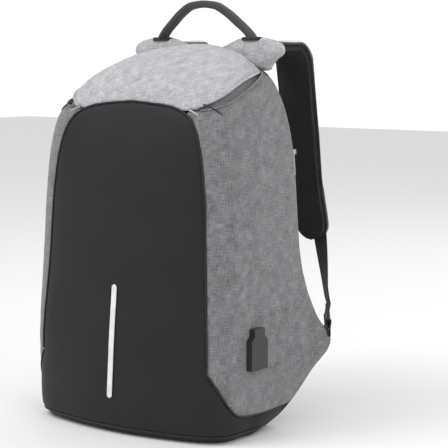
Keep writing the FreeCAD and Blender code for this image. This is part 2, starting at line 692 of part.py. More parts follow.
rail_in, rail_out = webbing_half + 0.6, webbing_half + 3.6
lock_rails = fuse(
    "lock_rails",
    run_block("rail_a", (LOCK_BAR - 2.5, LOCK_TOP + 2.5), (-rail_out, -rail_in), (-2.2, 2.2)),
    run_block("rail_b", (LOCK_BAR - 2.5, LOCK_TOP + 2.5), (rail_in, rail_out), (-2.2, 2.2)),
)
lock_bars = fuse(
    "lock_bars", run_bar("bar_low", LOCK_BAR, BAR_RADIUS, rail_out - 1),
    fuse("lock_upper", run_bar("bar_mid", LOCK_MID, BAR_RADIUS, rail_out - 1),
         run_bar("bar_top", LOCK_TOP, BAR_RADIUS, rail_out - 1)),
)
ladder_lock = fuse("ladder_lock_right", lock_rails, lock_bars)

# The webbing turns a quarter as it runs up to the strap.
STATIONS = 6
strap_across = Vector(math.cos(math.radians(dim("strap_yaw"))), -math.sin(math.radians(dim("strap_yaw"))), 0)
run_length = (STRAP_FOOT - ANCHOR).Length
lift = BAR_RADIUS + webbing_thick / 2 + 0.2
wires = []
for n in range(STATIONS):
    t = n / (STATIONS - 1)
    along = LOCK_MID - 4 + t * (run_length - LOCK_MID + 2)
    turn = max(0.0, (t - 0.2) / 0.8)
    across = (ACROSS * (1 - turn) + (strap_across - RUN * strap_across.dot(RUN)) * turn).normalize()
    square = across.cross(RUN)
    if square.dot(FACE) < 0:
        square = square.negative()
    middle = on_run(along, 0, lift)
    corners = [
        middle + across * (a * webbing_half) + square * (b * webbing_thick / 2)
        for a, b in ((-1, -1), (1, -1), (1, 1), (-1, 1), (-1, -1))
    ]
    wires.append(keep("webbing_station_%d" % n, Part.makePolygon(corners)))
webbing_loft = doc.addObject("Part::Loft", "webbing_loft")
webbing_loft.Sections = wires
webbing_loft.Solid = True
webbing_loft.Ruled = True
webbing = cut("webbing_right", cut("webbing_clear", webbing_loft, straps["strap_pad_right"]),
              straps["strap_cover_right"])

# ---------------------------------------------------------------------------------------------
# Carry handle: a padded loop over the yoke, hinged at its two feet.

HANDLE_ARCH = [(64, 480.5), (50, 492), (36, 502), (18, 511), (0, 514)]
handle_half = dim("handle_width") / 2
handle_y = dim("handle_y")
FOOT_RADIUS = 5.0
foot_z = HANDLE_ARCH[0][1]


def arch_offset(distance):
    curve = Part.BSplineCurve()
    curve.interpolate([front_view(x, z) for x, z in mirrored_arch(HANDLE_ARCH)])
    moved = []
    for x, z in mirrored_arch(HANDLE_ARCH):
        along = curve.tangent(curve.parameter(front_view(x, z)))[0]
        moved.append((x + distance * along.z, z - distance * along.x))
    return moved


low_arch, high_arch = arch_offset(-dim("handle_thick") / 2), arch_offset(dim("handle_thick") / 2)
arch_prism = prism(
    "arch_prism",
    outline([low_arch, [low_arch[-1], high_arch[-1]], high_arch[::-1], [high_arch[0], low_arch[0]]], front_view),
    FRONT, -handle_y + handle_half, handle_y + handle_half,
)
feet = [
    (handle_y - FOOT_RADIUS, foot_z), (handle_y - 0.7 * FOOT_RADIUS, foot_z - 0.7 * FOOT_RADIUS),
    (handle_y, foot_z - FOOT_RADIUS), (handle_y + 0.7 * FOOT_RADIUS, foot_z - 0.7 * FOOT_RADIUS),
    (handle_y + FOOT_RADIUS, foot_z), (handle_y + handle_half, foot_z + 14), (handle_y + handle_half, 530),
    (handle_y - handle_half, 530), (handle_y - handle_half, foot_z + 14),
]
handle = common("handle", arch_prism, half_prism("handle_side", feet, RIGHT))


def handle_base(word, side):
    """The sewn patch on the yoke under one foot of the handle."""
    slab = block("base_slab_" + word, 26, 11, 8, (side * 68 - 13, foam_face + 0.5, 467))
    return cut("handle_base_" + word, slab, yoke)


# ---------------------------------------------------------------------------------------------
# Everything that is written out.

side_right = cut("side_right", common("side_right_raw", sides, right_half), cable_room)
side_left = common("side_left", sides, left_half)
lining_bored = cut("lining_bored", lining_wall, cable_hole)
finished = {
    "front_panel": front_wall,
    "base_panel": base_wall,
    "side_panel_right": side_right,
    "side_panel_left": side_left,
    "top_panel": top_wall,
    "pleat_right": common("pleat_right", pleats, right_far),
    "pleat_left": common("pleat_left", pleats, left_far),
    "lower_rear_panel": slope_wall,
    "reflective_strip": strip,
    "front_board": front_board,
    "base_board": base_board,
    "lining": lining_bored,
    "organiser_pocket": organiser,
    "usb_housing": usb_housing,
    "usb_socket": socket,
    "usb_tongue": tongue,
    "usb_cable": cable,
    "usb_plug": plug,
    "power_bank_pocket": bank_pocket,
    "power_bank": bank,
    "power_button": button,
    "back_board": back_board,
    "back_foam": back_foam,
    "yoke": yoke,
    "handle_base_right": handle_base("right", 1),
    "handle_base_left": handle_base("left", -1),
    "luggage_strap": luggage,
    "laptop_sleeve": laptop_sleeve,
    "sleeve_strap": sleeve_strap,
    "zip_tape_shell": zip_tape_shell,
    "zip_tape_door": zip_tape_door,
    "zip_coil": zip_coil,
    "zip_slider_right": slider_right,
    "zip_slider_left": slider_left,
    "zip_pull_right": pull_right,
    "zip_pull_left": pull_left,
    "handle": handle,
    "anchor_loop_right": anchor_loop,
    "anchor_loop_left": mirrored("anchor_loop_left", anchor_loop),
    "ladder_lock_right": ladder_lock,
    "ladder_lock_left": mirrored("ladder_lock_left", ladder_lock),
    "webbing_right": webbing,
    "webbing_left": mirrored("webbing_left", webbing),
}
finished.update(straps)
doc.recompute()
for name, item in finished.items():
    item.Label = name

broken = [item.Name for item in doc.Objects if "Invalid" in item.State or "Error" in item.State]
for name, item in finished.items():
    if item.Shape.isNull() or not item.Shape.isValid() or len(item.Shape.Solids) != 1:
        broken.append("%s %d" % (name, 0 if item.Shape.isNull() else len(item.Shape.Solids)))
if broken:
    raise RuntimeError("these parts did not build: " + ", ".join(broken))

os.makedirs("parts", exist_ok=True)
for name, item in finished.items():
    item.Shape.exportStep("parts/%s.step" % name)
print("written", len(finished))
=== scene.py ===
import math

import bpy
import numpy as np
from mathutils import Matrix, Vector
from mathutils.bvhtree import BVHTree


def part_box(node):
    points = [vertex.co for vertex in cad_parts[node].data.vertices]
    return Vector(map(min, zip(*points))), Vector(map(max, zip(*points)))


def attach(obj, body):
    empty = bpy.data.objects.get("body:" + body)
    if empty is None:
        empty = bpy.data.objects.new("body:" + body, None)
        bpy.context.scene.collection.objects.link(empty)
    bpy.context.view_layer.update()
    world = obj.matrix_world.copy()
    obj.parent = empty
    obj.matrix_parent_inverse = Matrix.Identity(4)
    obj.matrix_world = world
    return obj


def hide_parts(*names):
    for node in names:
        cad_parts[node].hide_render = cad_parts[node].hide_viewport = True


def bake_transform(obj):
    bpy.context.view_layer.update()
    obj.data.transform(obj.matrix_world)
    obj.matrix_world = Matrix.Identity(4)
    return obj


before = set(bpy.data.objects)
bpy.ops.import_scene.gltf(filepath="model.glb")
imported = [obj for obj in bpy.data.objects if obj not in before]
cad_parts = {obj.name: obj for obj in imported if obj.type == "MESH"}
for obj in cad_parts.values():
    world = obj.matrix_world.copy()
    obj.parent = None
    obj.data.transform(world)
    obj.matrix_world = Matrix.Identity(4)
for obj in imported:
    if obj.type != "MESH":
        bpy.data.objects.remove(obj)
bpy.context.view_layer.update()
MM = 0.001

# ---------------------------------------------------------------------------------------------
# Materials, all node based.


EVEN = (1, 1, 1)  # texture coordinates left unstretched


class Shade:
    """A Principled material built node by node."""

    def __init__(self, name, roughness=0.8, metallic=0.0):
        self.material = bpy.data.materials.new(name)
        self.material.use_nodes = True
        self.tree = self.material.node_tree
        self.surface = self.tree.nodes["Principled BSDF"]
        self.surface.inputs["Roughness"].default_value = roughness
        self.surface.inputs["Metallic"].default_value = metallic

    def node(self, kind, inputs=None, **settings):
        made = self.tree.nodes.new(kind)
        for key, value in settings.items():
            setattr(made, key, value)
        for key, value in (inputs or {}).items():
            if isinstance(value, bpy.types.NodeSocket):
                self.tree.links.new(value, made.inputs[key])
            else:
                made.inputs[key].default_value = value
        return made

    def coords(self, source, scale):
        """Texture coordinates, Object or UV, in metres, stretched by scale."""
        start = self.node("ShaderNodeTexCoord")
        return self.node("ShaderNodeMapping", {"Vector": start.outputs[source], "Scale": scale}).outputs[0]

    def noise(self, where, scale, detail=2.0, rough=0.5):
        return self.node("ShaderNodeTexNoise", {"Vector": where, "Scale": scale, "Detail": detail,
                                                "Roughness": rough}).outputs["Fac"]

    def math(self, operation, a, b):
        return self.node("ShaderNodeMath", {0: a, 1: b}, operation=operation).outputs[0]

    def ramp(self, fac, stops):
        made = self.node("ShaderNodeValToRGB", {"Fac": fac})
        cells = made.color_ramp.elements
        while len(cells) < len(stops):
            cells.new(0.5)
        for cell, (place, colour) in zip(cells, stops):
            cell.position = place
            cell.color = (*colour, 1.0)
        return made.outputs["Color"]

    def colour(self, socket):
        self.tree.links.new(socket, self.surface.inputs["Base Color"])

    def rough(self, socket):
        self.tree.links.new(socket, self.surface.inputs["Roughness"])

    def bump(self, height, distance, strength=0.6):
        made = self.node("ShaderNodeBump", {"Height": height, "Distance": distance, "Strength": strength})
        self.tree.links.new(made.outputs[0], self.surface.inputs["Normal"])

    def sheen(self, weight, tint):
        self.surface.inputs["Sheen Weight"].default_value = weight
        self.surface.inputs["Sheen Tint"].default_value = (*tint, 1.0)


def grey(level, blue=0.0):
    return (level, level, level * (1 + blue))


def heather(name, dark, light):
    """Linen-look weave: slubby threads both ways, a mottled ground and a fine plain weave."""
    cloth = Shade(name, 0.9)
    across = cloth.noise(cloth.coords("UV", (26, 420, 1)), 3.2, 3.0, 0.6)
    upward = cloth.noise(cloth.coords("UV", (420, 26, 1)), 3.2, 3.0, 0.6)
    ground = cloth.noise(cloth.coords("UV", EVEN), 60, 4.0, 0.6)
    slubs = cloth.math("MULTIPLY_ADD", across, 0.55)
    slubs.node.inputs[2].default_value = 0.0
    threads = cloth.math("ADD", slubs, cloth.math("MULTIPLY", upward, 0.45))
    mixed = cloth.math("ADD", cloth.math("MULTIPLY", threads, 0.8), cloth.math("MULTIPLY", ground, 0.2))
    cloth.colour(cloth.ramp(mixed, [(0.36, grey(dark, 0.06)), (0.5, grey((dark + light) / 2, 0.05)),
                                    (0.62, grey(light, 0.04))]))
    warp = cloth.node("ShaderNodeTexWave", {"Vector": cloth.coords("UV", EVEN), "Scale": 260.0,
                                            "Distortion": 1.2, "Detail": 1.0}, bands_direction="X")
    weft = cloth.node("ShaderNodeTexWave", {"Vector": cloth.coords("UV", EVEN), "Scale": 260.0,
                                            "Distortion": 1.2, "Detail": 1.0}, bands_direction="Y")
    weave = cloth.math("ADD", cloth.math("MULTIPLY", warp.outputs["Fac"], weft.outputs["Fac"]),
                       cloth.math("MULTIPLY", threads, 1.4))
    cloth.bump(weave, 0.0004, 0.5)
    cloth.sheen(0.25, grey(0.9))
    return cloth.material


def coated(name, level, wear=0.25):
    """Matt coated polyester: fine grain, faint scuffs, a soft sheen."""
    cloth = Shade(name, 0.62)
    grain = cloth.noise(cloth.coords("Object", EVEN), 1800, 2.0)
    cloudy = cloth.noise(cloth.coords("Object", EVEN), 14, 3.0)
    scuff = cloth.noise(cloth.coords("Object", (1, 1, 3)), 90, 5.0, 0.7)
    shade = cloth.math("ADD", cloth.math("MULTIPLY", cloudy, 0.7), cloth.math("MULTIPLY", scuff, wear))
    cloth.colour(cloth.ramp(shade, [(0.25, grey(level * 0.85, 0.12)), (0.75, grey(level * 1.2, 0.12))]))
    cloth.rough(cloth.math("ADD", cloth.math("MULTIPLY", scuff, 0.18), 0.5))
    cloth.bump(grain, 0.0002, 0.35)
    cloth.sheen(0.04, grey(0.7))
    cloth.surface.inputs["Specular IOR Level"].default_value = 0.2
    return cloth.material


def mesh_cloth(name, level):
    """Air mesh: staggered round holes over a dark ground."""
    cloth = Shade(name, 0.95)
    cells = cloth.node("ShaderNodeTexVoronoi", {"Vector": cloth.coords("Object", EVEN), "Scale": 420.0,
                                                "Randomness": 0.25})
    cloudy = cloth.noise(cloth.coords("Object", EVEN), 25, 3.0)
    cloth.colour(cloth.ramp(cloth.math("ADD", cloth.math("MULTIPLY", cells.outputs["Distance"], 0.8),
                                       cloth.math("MULTIPLY", cloudy, 0.4)),
                            [(0.15, grey(level * 0.45)), (0.75, grey(level * 1.5))]))
    cloth.bump(cells.outputs["Distance"], 0.0006, 0.6)
    cloth.sheen(0.12, grey(0.5))
    return cloth.material


def ribbed(name, level, pitch=900.0):
    """Woven webbing: ribs across the band and a little fuzz."""
    cloth = Shade(name, 0.82)
    ribs = cloth.node("ShaderNodeTexWave", {"Vector": cloth.coords("UV", EVEN), "Scale": pitch / 6.283,
                                            "Distortion": 0.8, "Detail": 1.0}, bands_direction="Y")
    fuzz = cloth.noise(cloth.coords("Object", EVEN), 700, 3.0)
    shade = cloth.math("ADD", cloth.math("MULTIPLY", ribs.outputs["Fac"], 0.5),
                       cloth.math("MULTIPLY", fuzz, 0.5))
    cloth.colour(cloth.ramp(shade, [(0.2, grey(level * 0.55)), (0.8, grey(level * 1.5))]))
    cloth.bump(shade, 0.0005, 0.6)
    cloth.sheen(0.2, grey(0.6))
    return cloth.material


def moulded(name, level, roughness=0.42):
    """Injection-moulded plastic with a fine spark texture."""
    plastic = Shade(name, roughness)
    spark = plastic.noise(plastic.coords("Object", EVEN), 2600, 2.0)
    cloudy = plastic.noise(plastic.coords("Object", EVEN), 80, 3.0)
    plastic.colour(plastic.ramp(cloudy, [(0.3, grey(level * 0.85)), (0.7, grey(level * 1.15))]))
    plastic.rough(plastic.math("ADD", plastic.math("MULTIPLY", cloudy, 0.2), roughness - 0.1))
    plastic.bump(spark, 0.0001, 0.3)
    return plastic.material


def plated(name):
    """Plated metal with fine brushing and finger marks."""
    metal = Shade(name, 0.28, 1.0)
    brushed = metal.noise(metal.coords("Object", (900, 900, 60)), 2.0, 3.0)
    metal.colour(metal.ramp(brushed, [(0.3, grey(0.42)), (0.7, grey(0.62))]))
    metal.rough(metal.math("ADD", metal.math("MULTIPLY", brushed, 0.25), 0.2))
    metal.bump(brushed, 0.00005, 0.3)
    return metal.material


def reflective(name):
    """Retro-reflective tape: pale, with a fine cell pattern."""
    tape = Shade(name, 0.42)
    cells = tape.node("ShaderNodeTexVoronoi", {"Vector": tape.coords("Object", EVEN), "Scale": 700.0,
                                               "Randomness": 0.1})
    cloudy = tape.noise(tape.coords("Object", EVEN), 60, 3.0)
    mixed = tape.math("ADD", tape.math("MULTIPLY", cells.outputs["Distance"], 0.3),
                      tape.math("MULTIPLY", cloudy, 0.7))
    tape.colour(tape.ramp(mixed, [(0.25, grey(0.62)), (0.7, grey(0.86))]))
    tape.bump(cells.outputs["Distance"], 0.0001, 0.3)
    return tape.material


GREY = heather("grey_heather", 0.045, 0.29)
# Lighter copy of the grey heather: painted light, the top panel, yoke and bow edge made paler as if lit from
# above.
LIT_GREY = heather("grey_heather_top_painted_lit", 0.20, 0.66)
# Darker copy of the grey heather: painted shade, for the recess of the pleat.
SHADED_GREY = heather("grey_heather_fold_painted_shade", 0.10, 0.26)
BLACK = coated("black_coated", 0.016)
LINING = coated("lining_cloth", 0.045)
MESH = mesh_cloth("air_mesh", 0.016)
WEBBING = ribbed("webbing_weave", 0.018)
HANDLE = ribbed("handle_weave", 0.040)
TAPE = ribbed("zip_tape_weave", 0.02, 1800.0)
THREAD_DARK = ribbed("thread_dark", 0.012, 5000.0)
THREAD_GREY = ribbed("thread_grey", 0.30, 5000.0)
PLASTIC = moulded("black_plastic", 0.022)
BANK = moulded("bank_plastic", 0.55, 0.3)
BOARD = moulded("board_sheet", 0.05, 0.6)
METAL = plated("plated_metal")
REFLECTIVE = reflective("reflective_tape")

# ---------------------------------------------------------------------------------------------
# Mesh helpers. Lengths are millimetres until a piece is made.


def make(name, points, faces, material, body, uvs=None, nodes=(), slot=None, smooth=True):
    """A mesh piece from points in mm, riding a body and standing for CAD nodes."""
    mesh = bpy.data.meshes.new(name)
    mesh.from_pydata([tuple(p) for p in np.asarray(points, float) * MM], [], [tuple(f) for f in faces])
    mesh.validate()
    if uvs is not None:
        layer = mesh.uv_layers.new(name="UVMap")
        flat = np.asarray(uvs, float) * MM
        loops = np.array([loop.vertex_index for loop in mesh.loops])
        layer.data.foreach_set("uv", flat[loops].astype(np.float32).ravel())
    piece = bpy.data.objects.new(name, mesh)
    bpy.context.scene.collection.objects.link(piece)
    mesh.materials.append(material)
    if smooth:
        mesh.polygons.foreach_set("use_smooth", [True] * len(mesh.polygons))
    if body:
        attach(piece, body)
    if nodes:
        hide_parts(*nodes)
    return piece


def grid_faces(rows, columns, closed=False):
    """Faces of a grid stored row by row; closed joins the last column to the first."""
    span = columns if closed else columns - 1
    return [
        (r * columns + c, r * columns + (c + 1) % columns, (r + 1) * columns + (c + 1) % columns,
         (r + 1) * columns + c)
        for r in range(rows - 1) for c in range(span)
    ]


def run_along(points):
    """Distance run from the first point to each point."""
    return np.concatenate([[0], np.cumsum(np.linalg.norm(np.diff(points, axis=0), axis=1))])


def smooth_curve(points, count):
    """A cubic curve through points, sampled evenly by length."""
    points = np.asarray(points, float)
    knots = run_along(points)
    fine = np.linspace(0, knots[-1], 40 * len(points))
    dense = np.stack([cubic(knots, points[:, k], fine) for k in range(points.shape[1])], 1)
    run = run_along(dense)
    where = np.linspace(0, run[-1], count)
    return np.stack([np.interp(where, run, dense[:, k]) for k in range(points.shape[1])], 1)


def cubic(x, y, at):
    """Monotone cubic interpolation, so nothing bulges past its points."""
    x, y, at = (np.asarray(v, float) for v in (x, y, at))
    step, slope = np.diff(x), np.diff(y) / np.diff(x)
    tangent = np.zeros_like(y)
    tangent[0], tangent[-1] = slope[0], slope[-1]
    for k in range(1, len(x) - 1):
        if slope[k - 1] * slope[k] > 0:
            w1, w2 = 2 * step[k] + step[k - 1], step[k] + 2 * step[k - 1]
            tangent[k] = (w1 + w2) / (w1 / slope[k - 1] + w2 / slope[k])
    cell = np.clip(np.searchsorted(x, at) - 1, 0, len(step) - 1)
    t = np.clip((at - x[cell]) / step[cell], 0, 1)
    h = step[cell]
    return ((1 + 2 * t) * (1 - t) ** 2 * y[cell] + t * (1 - t) ** 2 * h * tangent[cell]
            + t * t * (3 - 2 * t) * y[cell + 1] + t * t * (t - 1) * h * tangent[cell + 1])


def unit(v):
    return v / np.maximum(np.linalg.norm(v, axis=-1, keepdims=True), 1e-9)


def sweep(name, path, across, profile, material, body, **extra):
    """Sweeps a closed (across, out) profile along a path: one outline, or one for each station."""
    path = np.asarray(path, float)
    along = unit(np.gradient(path, axis=0))
    across = np.broadcast_to(np.asarray(across, float), path.shape)
    across = unit(across - along * np.sum(across * along, 1, keepdims=True))
    out = np.cross(across, along)
    profile = np.asarray(profile, float)
    if profile.ndim == 2:
        profile = np.broadcast_to(profile, (len(path), *profile.shape))
    ring = profile.shape[1]
    points = (path[:, None] + across[:, None] * profile[..., :1] + out[:, None] * profile[...,
                                                                                          1:]).reshape(-1, 3)
    faces = grid_faces(len(path), ring, closed=True)
    faces += [tuple(range(ring))[::-1], tuple((len(path) - 1) * ring + k for k in range(ring))]
    run = run_along(path)
    girth = run_along(profile[0])
    uvs = np.stack([np.tile(girth, len(path)), np.repeat(run, ring)], 1)
    return make(name, points, faces, material, body, uvs=uvs, **extra)


def oval(width, thick, corner=0.5, count=20):
    """A rounded-rectangle profile, as a superellipse."""
    turn = np.linspace(0, 2 * math.pi, count, endpoint=False)
    return np.stack([
        width / 2 * np.sign(np.cos(turn)) * np.abs(np.cos(turn)) ** corner,
        thick / 2 * np.sign(np.sin(turn)) * np.abs(np.sin(turn)) ** corner,
    ], 1)


def cord(name, path, radius, material, body, sides=8, **extra):
    """A round cord along a path."""
    path = np.asarray(path, float)
    along = unit(np.gradient(path, axis=0))
    helper = np.array([0.0, 0.0, 1.0]) if abs(along[:, 2]).mean() < 0.9 else np.array([1.0, 0.0, 0.0])
    return sweep(name, path, helper, oval(2 * radius, 2 * radius, 1.0, sides), material, body, **extra)


def join(name, parts):
    """Joins pieces that share a body into one."""
    bpy.ops.object.select_all(action="DESELECT")
    for part in parts:
        part.select_set(True)
    bpy.context.view_layer.objects.active = parts[0]
    bpy.ops.object.join()
    parts[0].name = name
    return parts[0]


def stitches(name, path, body, material, length=2.6, gap=1.4, radius=0.32):
    """A row of separate stitches along a path lying on the cloth."""
    path = np.asarray(path, float)
    run = run_along(path)
    points, faces = [], []
    profile = oval(2 * radius, 2 * radius, 1.0, 5)
    for start in np.arange(0, run[-1] - length, length + gap):
        ends = [np.array([np.interp(start + t * length, run, path[:, k]) for k in range(3)]) for t in (0,
                                                                                                       0.5,
                                                                                                       1)]
        along = unit(ends[2] - ends[0])
        side = unit(np.cross(along, [0.31, 0.52, 0.79]))
        up = np.cross(side, along)
        base = len(points)
        for middle, size in zip(ends, (0.6, 1.0, 0.6)):
            points += [middle + size * (side * a + up * b) for a, b in profile]
        faces += [tuple(base + i for i in face) for face in grid_faces(3, 5, closed=True)]
        faces += [tuple(base + k for k in range(5))[::-1], tuple(base + 10 + k for k in range(5))]
    return make(name, points, faces, material, body)


def modify(piece, kind, **settings):
    """Adds a modifier and applies it."""
    bpy.ops.object.select_all(action="DESELECT")
    piece.select_set(True)
    bpy.context.view_layer.objects.active = piece
    modifier = piece.modifiers.new(kind.title(), kind)
    for key, value in settings.items():
        setattr(modifier, key, value)
    bpy.ops.object.modifier_apply(modifier=modifier.name)
    return piece


# ---------------------------------------------------------------------------------------------
# The bag's outer form. Each row: height, half width, half width and y of the front panel's edge,
# y of the crown, y where the side begins, half width at the rear rim.

ROWS = [
    (0, 137, 117, -66, -86, -20, 118), (5, 144, 123, -73, -94, -20, 126),
    (16, 149, 127, -77.5, -99, -20, 137),
    (40, 150, 128, -78, -99.5, -20, 150), (67, 151, 128, -78, -98, -20, 160),
    (95, 152, 128, -77.5, -96, -20, 173),
    (104, 152, 128, -77.5, -95.5, -20, 173.5), (115, 152, 127, -77, -94.5, -20, 167),
    (132, 152, 126.5, -76, -93, -20, 158),
    (167, 151.5, 124, -73, -89.5, -20, 152.5), (211, 150, 121, -70, -86, -20, 148),
    (273, 147, 118, -67, -80.5, -20, 144.5),
    (333, 142, 113, -63, -72.5, -18, 139), (372, 135, 106, -57, -63, -12, 131),
    (402, 123, 92, -42, -52, 5, 119),
    (425, 108, 76, -18, -31, 25, 103), (438, 94, 62, 5, -9, 40, 82), (448, 80, 48, 25, 12, 52, 60),
    (456, 56, 32, 42, 34, 62, 38),
    (461, 28, 16, 60, 54, 70, 20),
]
ROWS = np.array(ROWS, float)
RIM = np.array([(-3, 45), (90, 107.5), (99.5, 113.6), (113, 112), (138, 103), (162, 92.5), (186, 86),
                (215, 82),
                (270, 80), (400, 80.5), (470, 81)], float)
CREST = 463.0
ACROSS_COUNT = 300


def rim_y(height):
    """The rear rim, seen from the side."""
    return np.interp(height, RIM[:, 0], RIM[:, 1])


def section(height, inset=0.0, count=ACROSS_COUNT):
    """Points (x, y) of one level, from the right rim round the front to the left rim."""
    half, edge, edge_y, crown_y, side_y, rear = (cubic(ROWS[:, 0], ROWS[:, k],
                                                       [height])[0] for k in range(1, 7))
    half, rear, edge = half - inset, rear - inset, edge - 0.8 * inset
    edge_y, crown_y = edge_y + 0.8 * inset, crown_y + inset
    back = rim_y(height)
    middle = side_y + 0.55 * (back - side_y)
    right = [
        (rear, back), (half + 0.30 * (rear - half), middle), (half, side_y + 0.25 * (back - side_y)),
        (half - 1, side_y),
        (edge + 0.81 * (half - edge), edge_y + 0.30 * (side_y - edge_y)), (edge, edge_y),
        (0.55 * edge, crown_y + 0.30 * (edge_y - crown_y)), (0, crown_y),
    ]
    ring = np.array(right + [(-x, y) for x, y in right[-2::-1]])
    return catmull(ring, count)


def catmull(points, count):
    """A centripetal curve through points, sampled evenly by length."""
    padded = np.vstack([2 * points[0] - points[1], points, 2 * points[-1] - points[-2]])
    dense = []
    for k in range(len(points) - 1):
        p0, p1, p2, p3 = padded[k:k + 4]
        t1 = max(np.linalg.norm(p1 - p0), 1e-6) ** 0.5
        t2 = t1 + max(np.linalg.norm(p2 - p1), 1e-6) ** 0.5
        t3 = t2 + max(np.linalg.norm(p3 - p2), 1e-6) ** 0.5
        t = np.linspace(t1, t2, 24, endpoint=False)[:, None]
        a1 = (t1 - t) / t1 * p0 + t / t1 * p1
        a2 = (t2 - t) / (t2 - t1) * p1 + (t - t1) / (t2 - t1) * p2
        a3 = (t3 - t) / (t3 - t2) * p2 + (t - t2) / (t3 - t2) * p3
        b1 = (t2 - t) / t2 * a1 + t / t2 * a2
        b2 = (t3 - t) / (t3 - t1) * a2 + (t - t1) / (t3 - t1) * a3
        dense.append((t2 - t) / (t2 - t1) * b1 + (t - t1) / (t2 - t1) * b2)
    dense = np.vstack(dense + [points[-1:]])
    run = run_along(dense)
    where = np.linspace(0, run[-1], count)
    return np.stack([np.interp(where, run, dense[:, k]) for k in (0, 1)], 1)


def body_grid(inset=0.0, low=0.0, step=2.2, columns=ACROSS_COUNT, cap=True):
    """The outer form as a grid of (rows, columns, 3), closed over the top."""
    heights = np.concatenate([np.arange(low, 396, step), np.linspace(396, ROWS[-1, 0], 44)])
    rows = []
    for height in heights:
        shrink = inset * max(0.0, 1 - height / 60) - inset * max(0.0, (height - 380) / (CREST - 380))
        ring = section(height, inset, columns)
        rows.append(np.column_stack([ring, np.full(columns, height + shrink)]))
    if cap:
        last = rows[-1]
        target = np.array([0.0, rim_y(CREST), last[0, 2] + CREST - ROWS[-1, 0]])
        for t in (0.25, 0.5, 0.75, 0.95):
            lifted = last + (target - last) * t
            lifted[:, 2] = last[:, 2] + (target[2] - last[:, 2]) * math.sin(t * math.pi / 2)
            rows.append(lifted)
    return np.array(rows)


def grid_uv(grid):
    """Arc length round each level, measured from the middle of the front, and arc length up the front."""
    across = np.linalg.norm(np.diff(grid, axis=1), axis=2)
    across = np.concatenate([np.zeros((len(grid), 1)), np.cumsum(across, 1)], 1)
    across -= across[:, grid.shape[1] // 2][:, None]
    upward = np.linalg.norm(np.diff(grid, axis=0), axis=2).mean(1)
    upward = np.concatenate([[0], np.cumsum(upward)])
    return np.stack([across, np.broadcast_to(upward[:, None], across.shape)], -1).reshape(-1, 2)


def sheet(name, rows, material, body, inward=False, **extra):
    """A piece made from rows of points; inward turns its faces over."""
    faces = np.array(grid_faces(*rows.shape[:2]))
    if inward:
        faces = faces[:, ::-1]
    return make(name, rows.reshape(-1, 3), faces, material, body, uvs=grid_uv(rows), **extra)


def signed(points, polygon):
    """Distance to a closed polygon, positive inside."""
    polygon = np.asarray(polygon, float)
    nearest = np.full(len(points), 1e9)
    inside = np.zeros(len(points), bool)
    for a, b in zip(polygon, np.roll(polygon, -1, 0)):
        run = b - a
        t = np.clip((points - a) @ run / max(run @ run, 1e-9), 0, 1)
        nearest = np.minimum(nearest, np.linalg.norm(points - a - t[:, None] * run, axis=1))
        crosses = (a[1] > points[:, 1]) != (b[1] > points[:, 1])
        if a[1] != b[1]:
            x = a[0] + (points[:, 1] - a[1]) / (b[1] - a[1]) * run[0]
            inside ^= crosses & (points[:, 0] < x)
    return np.where(inside, nearest, -nearest)


def trim(points, faces, field, uvs):
    """Keeps the part where field is positive, with its border pulled onto the zero line."""
    faces = np.asarray(faces)
    field = field.copy()
    points, uvs = points.copy(), uvs.copy()
    edges = np.unique(np.sort(np.vstack([faces[:, [k, (k + 1) % 4]] for k in range(4)]), 1), axis=0)
    crossing = edges[(field[edges[:, 0]] > 0) != (field[edges[:, 1]] > 0)]
    best = {}
    for a, b in crossing:
        inner, outer = (a, b) if field[a] > 0 else (b, a)
        t = field[inner] / (field[inner] - field[outer])
        mover, share = (outer, 1 - t) if t > 0.5 else (inner, t)
        gap = share * np.linalg.norm(points[outer] - points[inner])
        if mover not in best or gap < best[mover][0]:
            place = points[inner] + t * (points[outer] - points[inner])
            best[mover] = (gap, place, uvs[inner] + t * (uvs[outer] - uvs[inner]))
    for vertex, (_, place, uv) in best.items():
        points[vertex], uvs[vertex], field[vertex] = place, uv, 0.0
    kept = faces[(field[faces] >= 0).all(1) & (field[faces] > 0).any(1)]
    used, index = np.unique(kept, return_inverse=True)
    return points[used], index.reshape(-1, 4), uvs[used], field[used]


def normals_of(points, faces):
    """Smooth vertex normals."""
    faces = np.asarray(faces)
    flat = np.cross(points[faces[:, 2]] - points[faces[:, 0]], points[faces[:, 3]] - points[faces[:, 1]])
    total = np.zeros_like(points)
    for k in range(faces.shape[1]):
        np.add.at(total, faces[:, k], flat)
    return unit(total)


# ---------------------------------------------------------------------------------------------
# Sewn panels cut from the outer form.

PANEL_HALF = [(128, -12), (128, 60), (128, 102), (126.5, 132), (124, 167), (121, 211), (118, 273), (114, 310),
              (107, 346), (91, 377), (60, 391), (0, 397)]
WRAP = [(-78, 84), (-68, 59), (-58, 43), (-44, 32), (-25, 28), (0, 27), (40, 26), (130, 25)]
HEM = [(-75, 379.0), (110, 442)]
BOW = [(-75, 379), (-57, 386), (-46, 394), (-20, 408), (15, 420), (50, 428), (77, 431.5), (110, 442)]
BASE_RIM = 9.0

panel_curve = smooth_curve(PANEL_HALF, 90)
panel_outline = np.vstack([panel_curve, (panel_curve * [-1, 1])[::-1][1:]])
wrap_outline = np.vstack([smooth_curve(WRAP, 60), [(130, -12), (-200, -12), (-200, 84)]])
bow_curve = smooth_curve(BOW, 60)
above_bow = np.vstack([bow_curve, [(200, 500), (-200, 500), (-200, 379)]])
below_hem = np.array([HEM[0], HEM[1], (200, 442), (200, -20), (-200, -20), (-200, 379)])

